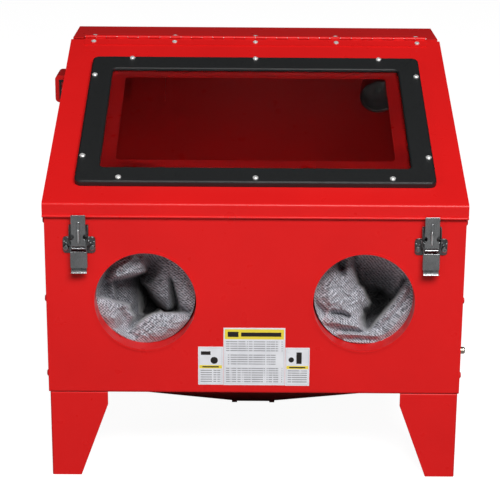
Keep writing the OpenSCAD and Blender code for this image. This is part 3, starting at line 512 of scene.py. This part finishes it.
# Folds of the lining, each a line of points (right, up, depth) in mm. Right and up are measured on the
# port's face from its centre as the camera sees them, and depth is behind the face.
FOLDS = {
    "left": [
        # flap at the upper left, gathered in a knot, with creases that fan out of it
        [(-40, 29, 30), (-38, 31, 23), (-28, 31, 24), (-16, 34, 24), (-6, 37, 26), (1, 39.5, 32)],
        [(-38, 31, 23), (-37, 38, 25), (-33, 50, 27), (-28, 59, 28)],
        [(-36, 33, 22), (-24, 46, 18), (-14, 58, 21)],
        [(-34, 33, 24), (-20, 43, 24), (-9, 55, 26)],
        [(-32, 33, 22), (-17, 40, 19), (-5, 50, 24)],
        [(-1, 60, 32), (-1, 50, 31), (1, 41, 33)],
        [(-39, 27, 52), (-28, 28.5, 54), (-16, 31, 68), (-7, 34, 88), (1, 37, 84), (4, 42, 70)],
        # wall at the left with one upright crease
        [(-58, 10, 46), (-55, 20, 48), (-50, 30, 50), (-44, 38, 50), (-40, 46, 44)],
        [(-40.5, 26, 44), (-40, 16, 43), (-39, 7, 46)],
        [(-46, 24, 56), (-45, 12, 56)], [(-36, 22, 57), (-35, 10, 57)],
        # woven wall left of the opening
        [(-28, 22, 56), (-27, 8, 55), (-26, 0, 56)], [(-18, 22, 64), (-17, 8, 60), (-16, -4, 58)],
        [(-11, 22, 78), (-9, 8, 72), (-9, -6, 66), (-8, -15, 64)],
        # the deep opening
        [(-7, 26, 96), (-3, 12, 104), (-2, -2, 104), (-3, -14, 98)],
        [(0, 18, 110), (7, 4, 112), (16, -7, 108), (24, -13, 102), (36, -12.5, 92)],
        [(2, 8, 114), (3, -6, 114), (10, -9, 110)],
        # wall above the opening
        [(6, 56, 50), (7, 46, 62), (3, 34, 74)], [(16, 54, 50), (14, 42, 60), (8, 28, 70)],
        # first upright fold
        [(24, 56, 40), (20, 42, 48), (10, 24, 58), (0, 25, 72)],
        [(0, 22, 70), (10, 9, 62), (20, -3, 60), (27, -10.5, 62)],
        [(28, 46, 36), (24, 32, 42), (17, 18, 48), (20, 6, 50), (27, -4, 54)],
        [(31, 34, 44), (28, 20, 44), (29, 6, 48), (31, -9, 56)],
        [(33.5, 27, 62), (36, 14, 72), (39, 0, 82), (41, -11, 86)],
        # second upright fold, along the right rim
        [(31, 35, 40), (36, 25, 38), (39.5, 10, 39), (42.5, -2, 41), (45, -12, 46)],
        [(33, 56, 32), (38, 44, 32), (45, 32, 29), (48, 15, 28), (50, 0, 29), (52, -10, 33)],
        [(56, 22, 27), (58, 4, 26)],
        # broad flap at the lower right
        [(-19, -38, 36), (-9, -30, 33), (0, -21, 30), (10, -15.5, 29), (22, -13.5, 28), (34, -13.5, 28),
         (46, -14, 29), (57, -17, 28)],
        [(-10, -27, 62), (0, -18.5, 88), (10, -13, 104)], [(46, -12, 62), (54, -13.5, 50)],
        [(-8, -38, 25), (4, -30, 22), (18, -24, 19), (34, -23, 18), (48, -24, 21)],
        [(-4, -46, 22), (10, -39, 17), (26, -35, 16), (40, -33, 19)],
        [(8, -50, 22), (24, -44, 20)],
        # crumpled flap at the lower left with a zig-zag edge
        [(-61, 6, 28), (-45, 2.5, 30), (-35, -2, 29), (-27, -3, 28), (-21.5, -5, 29)],
        [(-60, 8, 46), (-45, 5, 54), (-35, 1, 56), (-26, -0.5, 56), (-19, -3, 58)],
        [(-21.5, -5, 29), (-20, -12, 33), (-16, -18, 29), (-20, -27, 34), (-22, -37, 36)],
        [(-18, -6, 58), (-16.5, -12, 60), (-12, -18, 60), (-14, -27, 58), (-18, -35, 50)],
        [(-52, -6, 24), (-38, -9, 22), (-28, -7, 24)], [(-50, -20, 20), (-40, -22, 18), (-33, -20, 23)],
        [(-29, -12, 33), (-26, -20, 38), (-27, -30, 39)], [(-24, -9, 31), (-22, -18, 32), (-23, -28, 35)],
        [(-38, -30, 22), (-33, -34, 32), (-24, -41, 35), (-18, -44, 33)],
        [(-42, -36, 22), (-32, -43, 21), (-20, -49, 22)],
    ],
    "right": [
        # broad cloth at the left
        [(-37, 53, 32), (-33, 42, 30), (-30, 33, 29), (-28, 18, 31), (-24, 6, 32)],
        [(-52, 26, 27), (-44, 36, 27), (-38, 46, 29)], [(-56, 12, 26), (-44, 20, 21), (-35, 30, 24)],
        [(-54, 4, 25), (-44, 6, 20), (-34, 12, 22)], [(-40, -4, 22), (-32, 0, 22), (-26, -2, 26)],
        [(-61, 3, 28), (-50, -4, 27), (-43, -9, 26)],
        # dark corner behind it, and the second cloth
        [(-34, 52, 52), (-31, 44, 50), (-28, 38, 44)], [(-27, 57, 44), (-26, 48, 48), (-25, 42, 42)],
        [(-22, 58, 34), (-21, 46, 33), (-22, 34, 31), (-20, 20, 33), (-18, 6, 34), (-20, -4, 34)],
        [(-16, 60, 36), (-14, 46, 37), (-11.5, 34, 40), (-9, 24, 43)],
        [(-14, 60, 52), (-12, 48, 60), (-9, 36, 68), (-5, 25, 78)],
        # pointed flap
        [(-12, 20, 40), (-8, 17, 40), (-2.5, 18.5, 43), (1, 10, 45), (6, 1, 50), (4, -4, 50), (-2, -8, 47)],
        [(-10, 8, 36), (-5, 4, 38), (0, 0, 44)], [(-14, -6, 35), (-8, -10, 38), (-2, -14, 44)],
        [(0, 21, 84), (4, 11, 92), (9, 1, 96), (7, -6, 94), (2, -11, 88)],
        # wall at the upper right with curved creases
        [(-8, 58, 42), (4, 57, 42), (18, 54, 40), (34, 48, 38)],
        [(-8, 50, 52), (4, 49, 50), (18, 47, 49), (32, 41, 46), (44, 34, 40)],
        [(-6, 43, 56), (6, 41, 60), (20, 39, 57), (32, 34, 54), (43, 27, 48)],
        [(-3, 35, 64), (8, 33, 64), (21, 31, 64), (33, 25, 60), (40, 20, 56)],
        [(4, 25, 72), (14, 24, 73), (26, 20, 70), (36, 12, 66)],
        # the dark pocket
        [(10, 15, 92), (19, 15, 98), (27, 9, 94), (33, 5, 88)],
        [(14, 6, 104), (20, 0, 106), (14, -8, 102), (8, -18, 96), (6, -28, 88)],
        [(2, -16, 90), (4, -24, 88)],
        # rolled fold from the upper right down to the bottom
        [(53, 28, 31), (45, 15, 33), (37, 2, 34), (27, -11, 36), (17, -23, 37), (9, -34, 38), (5, -39, 36)],
        [(51, 30, 56), (43, 18, 64), (35, 5, 82), (25, -8, 92), (15, -20, 92), (7, -31, 84)],
        [(55, 23, 25), (48, 11, 25), (40.5, -1, 26), (31, -14, 27), (21, -26, 28), (13, -36, 30)],
        [(57, 14, 31), (51, 4, 32), (44, -7, 32), (35, -19, 33), (25, -31, 33)],
        [(57, -2, 25), (50, -13, 22), (42, -23, 20), (33, -34, 20), (24, -42, 23)],
        # open pocket at the lower left
        [(-46, -17, 25), (-41, -9, 26), (-32, -9, 26), (-22, -10, 27), (-14, -16, 28), (-6, -22, 29)],
        [(-6, -22, 29), (-18, -22, 25), (-32, -21, 23), (-46, -18, 24)],
        [(-38, -13, 37), (-28, -14, 44), (-18, -18, 42)],
        [(-57, -5, 36), (-50, -11, 38), (-48, -16, 35)],
        # layered folds along the bottom
        [(-48, -24, 24), (-38, -25, 20), (-26, -28, 18), (-12, -30, 19), (-3, -33, 22), (3, -38, 27)],
        [(-40, -33, 30), (-30, -34, 32), (-18, -36, 33), (-4, -38, 33)],
        [(-36, -43, 25), (-26, -41, 18), (-8, -41, 17), (8, -42, 17), (20, -43, 19)],
        [(-20, -47, 28), (0, -48, 29), (14, -48, 27)], [(-10, -51.5, 21), (6, -52, 21)],
    ],
}
RIM_DEPTH = 24 * MM
RIM_RADIUS = 61.8 * MM
SLEEVE_GAP = 1.2 * MM
LEAST_DEPTH = 14 * MM
THREAD_PITCH = 2.6 * MM
# SHADE_START, SHADE_MIDDLE and SHADE_END set where the painted shade on the glove lining begins, deepens and ends
SHADE_START, SHADE_MIDDLE, SHADE_END = 0.034, 0.062, 0.092  # metres behind the front, where a glove darkens


def sleeve_room(depth):
    """The sleeve's inner radius at a depth behind the front."""
    return float(np.interp(depth, (0.024, 0.030, 0.088, 0.108, 0.121), (0.0622, 0.0640, 0.0535, 0.0455, 0.031)))


def seen_from(eye, centre, right, up, depth):
    """The point at a depth, on the line of sight through a point of the port's face."""
    face = Vector((centre.x + right, FRONT_Y, centre.z + up))
    return face + (face - eye) * (depth / (face.y - eye.y))


def folded_lining(side, around=224, rings=84):
    """The crumpled lining: a disc of cloth from the collar's ring inwards, its folds cut as given."""
    eye = bpy.context.scene.camera.location
    centre = PORT[side]
    rise = RIM_DEPTH * (eye.z - centre.z) / (FRONT_Y - eye.y) / MM
    rim = RIM_RADIUS / MM
    flat, edges, depths = [], [], []

    def add(line, closed=False):
        first = len(flat)
        for a, b, d in line:
            flat.append(Vector((a, b)))
            depths.append(d)
        edges.extend((first + i, first + i + 1) for i in range(len(line) - 1))
        if closed:
            edges.append((first + len(line) - 1, first))

    for line in FOLDS[side]:
        kept = []
        for a, b, d in line:
            out = math.hypot(a, b - rise)
            if out > rim - 1.5:
                a, b = a * (rim - 1.5) / out, rise + (b - rise) * (rim - 1.5) / out
            kept.append((a, b, d))
        add(kept)
    add([(rim * math.cos(t), rise + rim * math.sin(t), RIM_DEPTH / MM)
         for t in np.linspace(0, 2 * math.pi, 48, endpoint=False)], closed=True)
    spots, _edges, corners, origins, _edge_origins, _face_origins = geometry.delaunay_2d_cdt(flat, edges, [], 0, 1e-4)
    spot_depth = np.array([np.mean([depths[i] for i in origin]) if origin else np.nan for origin in origins])
    spots = np.array([tuple(p) for p in spots])
    for i in np.flatnonzero(np.isnan(spot_depth)):
        near = np.argsort(np.linalg.norm(spots - spots[i], axis=1))
        spot_depth[i] = np.mean([spot_depth[k] for k in near[1:5] if not np.isnan(spot_depth[k])])

    # a polar grid over the disc, its depth read off the triangles
    share = (np.arange(rings + 1) / rings) ** 0.9
    turn = 2 * np.pi * np.arange(around) / around
    a = rim * share[:, None] * np.cos(turn)
    b = rise + rim * share[:, None] * np.sin(turn)
    depth = np.full(a.shape, RIM_DEPTH / MM)
    for corner in corners:
        p, q, r = spots[list(corner)]
        area = (q[0] - p[0]) * (r[1] - p[1]) - (r[0] - p[0]) * (q[1] - p[1])
        if abs(area) < 1e-9:
            continue
        v = ((a - p[0]) * (r[1] - p[1]) - (r[0] - p[0]) * (b - p[1])) / area
        w = ((q[0] - p[0]) * (b - p[1]) - (a - p[0]) * (q[1] - p[1])) / area
        inside = (v >= -1e-6) & (w >= -1e-6) & (v + w <= 1 + 1e-6)
        field = spot_depth[corner[0]] * (1 - v - w) + spot_depth[corner[1]] * v + spot_depth[corner[2]] * w
        depth[inside] = field[inside]

    # soften the folds a little, then add small creases
    def soften(field, times, amount):
        for _ in range(times):
            mean = (np.roll(field, 1, 1) + np.roll(field, -1, 1)) / 4
            mean[1:-1] += (field[:-2] + field[2:]) / 4
            field[1:-1] += amount * (mean[1:-1] - field[1:-1])
            field[0] = field[1].mean()
        return field

    soften(depth, 3, 0.5)
    fade = np.clip((1 - share) * 8, 0, 1)[:, None]
    for i in range(a.shape[0]):
        for k in range(around):
            spot = Vector((a[i, k] * 0.11, b[i, k] * 0.11, depth[i, k] * 0.05 + (7 if side == "left" else 19)))
            crease = 1 - abs(noise.noise(spot)) * 2.6
            fine = 1 - abs(noise.noise(spot * 2.7 + Vector((3, 1, 4)))) * 2.6
            depth[i, k] -= fade[i, 0] * (2.4 * max(crease, 0) ** 2 + 1.1 * max(fine, 0) ** 2)
    soften(depth, 1, 0.4)

    points, uvs, faces = [], [], []
    for i in range(a.shape[0]):
        for k in range(around):
            d = depth[i, k] * MM
            while d > RIM_DEPTH:
                place = seen_from(eye, centre, a[i, k] * MM, b[i, k] * MM, d)
                if math.hypot(place.x - centre.x, place.z - centre.z) < sleeve_room(d) - SLEEVE_GAP:
                    break
                d -= 1 * MM
            points.append(seen_from(eye, centre, a[i, k] * MM, b[i, k] * MM, max(d, LEAST_DEPTH)))
    cloth = np.stack([a + 0.55 * depth, b - 0.35 * depth], axis=2) * MM
    for i in range(rings):
        for k in range(around):
            n = (k + 1) % around
            ring = ((i, k), (i, n), (i + 1, n), (i + 1, k))
            if i == 0:
                ring = ring[1:]
            faces.append(tuple(r * around + c for r, c in ring))
            uvs += [tuple(cloth[r, c]) for r, c in ring]
    piece = new_object(side + "_glove_lining", mesh_from(side + "_glove_lining", points, faces, uvs),
                       MATERIALS["glove_lining"], CABINET)
    return weld(piece)


def glove_sleeve(side, around=96):
    """The rubber sleeve outside the lining: it comes off the collar in bunched rings and closes at the wrist."""
    centre = PORT[side]
    profile = [(0.0, 0.1225), (0.020, 0.1232), (0.032, 0.1238), (0.0372, 0.1225), (0.0425, 0.116), (0.0480, 0.109),
               (0.0530, 0.101), (0.0560, 0.093), (0.0600, 0.079), (0.0630, 0.064), (0.0650, 0.049),
               (0.0662, 0.037), (0.0666, 0.030), (0.0664, 0.0262), (0.0664, 0.019), (0.0664, 0.009)]
    line = [(r, d) for i in range(len(profile) - 1) for r, d in
            [tuple(np.array(profile[i]) + (np.array(profile[i + 1]) - profile[i]) * s) for s in (0, 0.25, 0.5, 0.75)]]
    line.append(profile[-1])
    points, faces, uvs = [], [], []
    for r, d in line:
        loose = float(np.interp(d, (0.026, 0.045, 0.110, 0.122), (0, 1, 1, 0)))
        for k in range(around):
            turn = 2 * math.pi * k / around
            spot = Vector((math.cos(turn) * 2.1, math.sin(turn) * 2.1, d * 75 + (0 if side == "left" else 9)))
            crease = max(0, 1 - abs(noise.noise(spot)) * 2.4) ** 2 + 0.5 * abs(noise.noise(spot * 2.3))
            inward = loose * crease * 3.2 * MM
            points.append(centre_on_axis(centre, max(r - inward, 0), d, turn))
    along = np.concatenate([[0], np.cumsum(np.linalg.norm(np.diff(np.array(line), axis=0), axis=1))])
    for i in range(len(line) - 1):
        for k in range(around):
            n = (k + 1) % around
            faces.append((i * around + k, i * around + n, (i + 1) * around + n, (i + 1) * around + k))
            uvs += [(k * 0.004, along[i]), ((k + 1) * 0.004, along[i]),
                    ((k + 1) * 0.004, along[i + 1]), (k * 0.004, along[i + 1])]
    piece = new_object(side + "_glove_sleeve", mesh_from(side + "_glove_sleeve", points, faces, uvs),
                       MATERIALS["glove_rubber"], CABINET)
    return weld(piece)


def centre_on_axis(centre, radius, depth, turn):
    """The point at a radius, depth and turn round a port's axis."""
    return Vector((centre.x + radius * math.cos(turn), FRONT_Y + depth, centre.z + radius * math.sin(turn)))


def glove_hand(side):
    """The hand hanging from the sleeve's end: a wrist, a palm, a thumb and four fingers, grown together."""
    out = 1 if side == "right" else -1
    centre = Vector((PORT[side].x, FRONT_Y, PORT[side].z))
    # each bone from one end to the other, with its radius at both, in mm from the port's centre
    bones = [((0, 126, -10), (0, 146, -16), 25, 27),
             ((0, 150, -20), (0, 164, -44), 25, 22),
             ((-9 * out, 164, -44), (-11 * out, 170, -64), 17, 13),
             ((9 * out, 164, -44), (11 * out, 170, -64), 17, 13),
             ((-14 * out, 163, -34), (-24 * out, 160, -58), 10, 8),
             ((-24 * out, 160, -58), (-22 * out, 166, -74), 8, 7),
             ((-11 * out, 170, -62), (-10 * out, 181, -98), 7.5, 6.6),
             ((-3.5 * out, 171, -64), (-3 * out, 184, -105), 7.5, 6.6),
             ((4 * out, 171, -64), (4 * out, 185, -104), 7.3, 6.4),
             ((11 * out, 170, -62), (10 * out, 183, -95), 6.8, 6)]
    form = bmesh.new()
    for a, b, ra, rb in bones:
        a, b = Vector(a), Vector(b)
        for s in np.linspace(0, 1, 9):
            place = centre + (a + (b - a) * s) * MM
            bmesh.ops.create_icosphere(form, subdivisions=3, radius=(ra + (rb - ra) * s) * MM,
                                       matrix=Matrix.Translation(place))
    mesh = bpy.data.meshes.new(side + "_glove_hand")
    form.to_mesh(mesh)
    form.free()
    piece = new_object(side + "_glove_hand", mesh, MATERIALS["glove_rubber"], CABINET)
    remesh = piece.modifiers.new("grow", "REMESH")
    remesh.mode, remesh.voxel_size, remesh.use_smooth_shade = "VOXEL", 1.6 * MM, True
    smooth = piece.modifiers.new("smooth", "SMOOTH")
    smooth.factor, smooth.iterations = 0.5, 6
    return settle(piece)


def lining_material():
    """Woven lining: a twill of light and dark threads, a little soft sheen, and painted shade that darkens it
    inwards.
    """
    s = Shader("glove_lining", (0.25, 0.26, 0.29), 0.85, Specular_IOR_Level=0.25, Sheen_Weight=0.25,
               Sheen_Roughness=0.5)
    cloth = s.place(uv=True)
    u, v = s.part(cloth, 0), s.part(cloth, 1)
    per_metre = 2 * math.pi / THREAD_PITCH
    twill = s.math("SINE", s.math("MULTIPLY", s.math("ADD", u, v), per_metre * 0.7))
    weft = s.math("SINE", s.math("MULTIPLY", s.math("SUBTRACT", u, v), per_metre * 0.7))
    weave = s.math("ADD", s.math("MULTIPLY", twill, 0.24), s.math("MULTIPLY", weft, 0.20))
    fleck = s.noise(560, cloth, detail=2, distortion=0.6)
    thread = s.ramp(s.math("ADD", weave, s.math("MULTIPLY", fleck, 1.8)), 0.55, 1.25)
    patch = s.noise(28, detail=3)
    dark, light = (0.050, 0.052, 0.064), (0.62, 0.63, 0.69)
    cloth_colour = s.mix(s.ramp(patch, 0.35, 0.65, 0.0, 0.25), s.mix(thread, dark, light), (0.40, 0.41, 0.45))
    # painted shade: the cloth's colour fades to near black with depth behind the front, standing for the shade inside
    # the glove
    inward = s.part(s.place(), 1)
    painted_depth_shade = s.math("MULTIPLY", s.ramp(inward, FRONT_Y + SHADE_START, FRONT_Y + SHADE_MIDDLE, 1.0, 0.30),
                  s.ramp(inward, FRONT_Y + SHADE_MIDDLE, FRONT_Y + SHADE_END, 1.0, 0.08))
    s.set("Base Color", s.mix(painted_depth_shade, (0.003, 0.003, 0.004), cloth_colour))
    s.set("Normal", s.bump(weave, 0.5, 0.35 * MM))
    return s.material


def glove_rubber():
    """The gloves' outside: dark rubber with patches of pale dust."""
    s = Shader("glove_rubber", (0.022, 0.022, 0.023), 0.5, Specular_IOR_Level=0.4)
    dust = s.ramp(s.noise(30, detail=4), 0.45, 0.75)
    s.set("Base Color", s.mix(dust, (0.020, 0.020, 0.021), (0.060, 0.056, 0.052)))
    s.set("Roughness", s.ramp(dust, 0, 1, 0.42, 0.68))
    s.set("Normal", s.bump(s.noise(420, detail=3), 0.25, 0.35 * MM))
    return s.material


MATERIALS["glove_lining"] = lining_material()
MATERIALS["glove_rubber"] = glove_rubber()
for side in ("left", "right"):
    lining, sleeve, hand = folded_lining(side), glove_sleeve(side), glove_hand(side)
    for piece in (lining, sleeve, hand):
        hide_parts(side + "_glove")

# ---------------------------------------------------------------- painted sheet metal with softened edges


EDGE_SHARES = (1, 0.7, 0.5, 0.3, 0.15)  # of the wanted width, tried in turn until no face is torn
TORN_AREA = 600 * MM ** 2  # overlap allowed within one face
WELD_DISTANCE = 2e-6
FLAT_ANGLE = math.radians(0.6)
NORMAL_WEIGHT = 80


def torn(mesh):
    """Whether a face of the mesh falls into wrong triangles, as a face that crosses itself does."""
    mesh.calc_loop_triangles()
    shown = np.zeros(len(mesh.polygons))
    for triangle in mesh.loop_triangles:
        shown[triangle.polygon_index] += triangle.area
    return bool(np.any(shown - np.array([face.area for face in mesh.polygons]) > TORN_AREA))


def softened(node, width=0.5 * MM, segments=2, angle=32, wide=()):
    """A copy of a CAD node with its edges rounded off, standing for it.
    wide lists (test of an edge's ends, radius) for the edges that are rounded further. The width is a wish:
    it shrinks until no face of the copy is torn."""
    source = frame["nodes"][node]
    piece = new_object(node + "_piece", source.data.copy(), None, source["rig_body"])
    form = bmesh.new()
    form.from_mesh(piece.data)
    bmesh.ops.remove_doubles(form, verts=form.verts, dist=WELD_DISTANCE)
    bmesh.ops.dissolve_limit(form, angle_limit=FLAT_ANGLE, verts=form.verts, edges=form.edges)
    for test, radius in wide:
        chosen = [e for e in form.edges if test(e.verts[0].co, e.verts[1].co)]
        bmesh.ops.bevel(form, geom=chosen, offset=radius, segments=5, profile=0.5, affect="EDGES",
                        clamp_overlap=False)
    form.to_mesh(piece.data)
    form.free()
    if piece.data.has_custom_normals:
        piece.data.attributes.remove(piece.data.attributes["custom_normal"])
    piece.data.polygons.foreach_set("use_smooth", [True] * len(piece.data.polygons))
    sharp = piece.data
    for share in EDGE_SHARES:
        piece.data = sharp.copy()
        bevel = piece.modifiers.new("edges", "BEVEL")
        bevel.width, bevel.segments = width * share, segments
        bevel.limit_method, bevel.angle_limit = "ANGLE", math.radians(angle)
        bevel.use_clamp_overlap = False
        weighted = piece.modifiers.new("normals", "WEIGHTED_NORMAL")
        weighted.mode, weighted.weight = "FACE_AREA", NORMAL_WEIGHT
        settle(piece)
        if not torn(piece.data):
            break
    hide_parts(node)
    return piece


def lid_bend(a, b):
    """True for the edge along the lid's front bend."""
    return (abs(a.z - b.z) < MM / 10 and abs(a.x - b.x) > 0.4
            and abs(a.y - lid_front) < MM / 2 and abs(a.z - front_high.z - 1.4 * MM) < 3 * MM)


def front_fold(a, b):
    """True for the fold along the bottom of the front."""
    return all(p.y < front_low.y + MM / 5 and p.z < front_low.z + MM / 5 for p in (a, b)) and abs(a.x - b.x) > 0.2


def port_edge(a, b):
    """True for the turned edge of a glove port."""
    return all(p.y < FRONT_Y + MM / 5 and min(math.hypot(p.x - c.x, p.z - c.z) for c in PORT.values()) < 0.0652
               for p in (a, b))


def leg_fold(a, b):
    """True for a leg's upright fold and for the top edges of its two faces."""
    upright = abs(a.x - b.x) < MM / 5 and abs(a.y - b.y) < MM / 5 and abs(a.z - b.z) > 0.05
    outer = abs(a.x) > leg_out.x - MM / 5 and abs(a.y) > leg_out.y - MM / 5
    top = min(a.z, b.z) > leg_out.z - MM / 5
    face = all(abs(p.x) > leg_out.x - MM / 5 or abs(p.y) > leg_out.y - MM / 5 for p in (a, b))
    return upright and outer or top and face and (a - b).length > 0.01


def hook_rib(side, hook):
    """The pressed rib down the middle of a latch's hook, on the hook's body, in a pale copy of the steel that paints
    its highlight.
    """
    low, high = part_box(side + "latch_hook")
    face = min(v.co.y for v in hook.data.vertices if low.z + 14 * MM < v.co.z < high.z - 6 * MM)
    middle, bottom, length, rings, steps = (low.x + high.x) / 2, low.z + 9 * MM, 18 * MM, 13, 10
    points, faces = [], []
    for i in range(rings):
        end = min(i, rings - 1 - i) / 3
        size = math.sin(math.pi / 2 * min(max(end, 0.15), 1))
        for k in range(steps + 1):
            turn = math.pi * k / steps
            points.append((middle + 1.5 * MM * size * math.cos(turn), face - 1.1 * MM * size * math.sin(turn),
                           bottom + length * i / (rings - 1)))
    ring = steps + 1
    for i in range(rings - 1):
        for k in range(ring):
            n = (k + 1) % ring
            faces.append((i * ring + n, i * ring + k, (i + 1) * ring + k, (i + 1) * ring + n))
    faces += [tuple(range(ring)), tuple(reversed(range((rings - 1) * ring, rings * ring)))]
    new_object(side + "latch_rib", mesh_from(side + "latch_rib", points, faces), MATERIALS["painted_highlight_rib"],
               frame["nodes"][side + "latch_hook"]["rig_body"])


lid_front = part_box("lid_panel")[0].y + 1.9 * MM
front_low, front_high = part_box("front_panel")
leg_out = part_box("leg_rear_right")[1]
softened("lid_panel", wide=[(lid_bend, 3 * MM)])
softened("front_panel", wide=[(front_fold, 3 * MM), (port_edge, 0.9 * MM)])
for name in ("leg_front_left", "leg_front_right", "leg_rear_left", "leg_rear_right"):
    softened(name, wide=[(leg_fold, 2.4 * MM)])
for name in ("left_side_panel", "right_side_panel", "rear_panel", "top_panel", "switch_box", "window_retainer"):
    softened(name)
softened("window_frame", 1.1 * MM, 4)
for side in ("left_", "right_"):
    # the bases take the darkened copy of the latch steel as painted shade
    softened(side + "latch_base", 0.3 * MM).data.materials[0] = MATERIALS["latch_base"]
    softened(side + "latch_lever", 0.45 * MM)
    hook = softened(side + "latch_hook", 0.45 * MM)
    hook_rib(side, hook)

# ---------------------------------------------------------------- stage and light

FLOOR_HALF = 30.0
FLOOR_GLOW = 0.95  # the camera sees the floor this much paler than it lights the object
HORIZON, ZENITH, ZENITH_HEIGHT = 0.70, 0.11, 0.70


def area_lamp(name, place, target, size, power):
    """A rectangular white lamp that faces a target."""
    data = bpy.data.lights.new(name, "AREA")
    data.shape, (data.size, data.size_y) = "RECTANGLE", size
    data.energy = power
    lamp = bpy.data.objects.new(name, data)
    lamp.location = place
    lamp.rotation_euler = (Vector(target) - Vector(place)).to_track_quat("-Z", "Y").to_euler()
    bpy.context.scene.collection.objects.link(lamp)
    return lamp


def make_stage():
    """A plain pale floor, a world that is brightest at the horizon, and soft studio lamps."""
    half = FLOOR_HALF
    corners = [(-half, -half, 0), (half, -half, 0), (half, half, 0), (-half, half, 0)]
    floor = bpy.data.objects.new("floor", mesh_from("floor", corners, [(0, 1, 2, 3)]))
    bpy.context.scene.collection.objects.link(floor)
    s = Shader("pale_floor", (0.30, 0.30, 0.30), 0.8, Specular_IOR_Level=0.0)
    shown = s.nodes.new("ShaderNodeEmission")
    shown.inputs["Color"].default_value = (1, 1, 1, 1)
    shown.inputs["Strength"].default_value = FLOOR_GLOW
    both, seen, kind = (s.nodes.new("ShaderNode" + name) for name in ("AddShader", "MixShader", "LightPath"))
    s.put(both.inputs[0], s.main.outputs[0])
    s.put(both.inputs[1], shown.outputs[0])
    s.put(seen.inputs[0], kind.outputs["Is Camera Ray"])
    s.put(seen.inputs[1], s.main.outputs[0])
    s.put(seen.inputs[2], both.outputs[0])
    s.put(s.out.inputs["Surface"], seen.outputs[0])
    floor.data.materials.append(s.material)
    world = bpy.data.worlds.new("studio")
    bpy.context.scene.world = world
    world.use_nodes = True
    nodes, links = world.node_tree.nodes, world.node_tree.links
    back = nodes["Background"]
    where = nodes.new("ShaderNodeTexCoord")
    split = nodes.new("ShaderNodeSeparateXYZ")
    height = nodes.new("ShaderNodeMapRange")
    links.new(where.outputs["Generated"], split.inputs[0])
    links.new(split.outputs["Z"], height.inputs["Value"])
    height.inputs["From Min"].default_value = 0.0
    height.inputs["From Max"].default_value = ZENITH_HEIGHT
    height.inputs["To Min"].default_value = HORIZON
    height.inputs["To Max"].default_value = ZENITH
    links.new(height.outputs[0], back.inputs["Strength"])
    area_lamp("key", (0.7, -2.72, 2.90), (0, 0, 0.25), (2.4, 1.4), 158)
    area_lamp("fill", (-2.6, -2.6, 1.3), (0, 0, 0.25), (1.6, 1.6), 14)
    inside = area_lamp("inside", (0.05, -0.13, 0.335), (-0.04, 0.24, 0.20), (0.30, 0.06), 0.16)
    inside.visible_camera = inside.visible_glossy = False
    bpy.context.scene.view_settings.view_transform = "Standard"


make_stage()
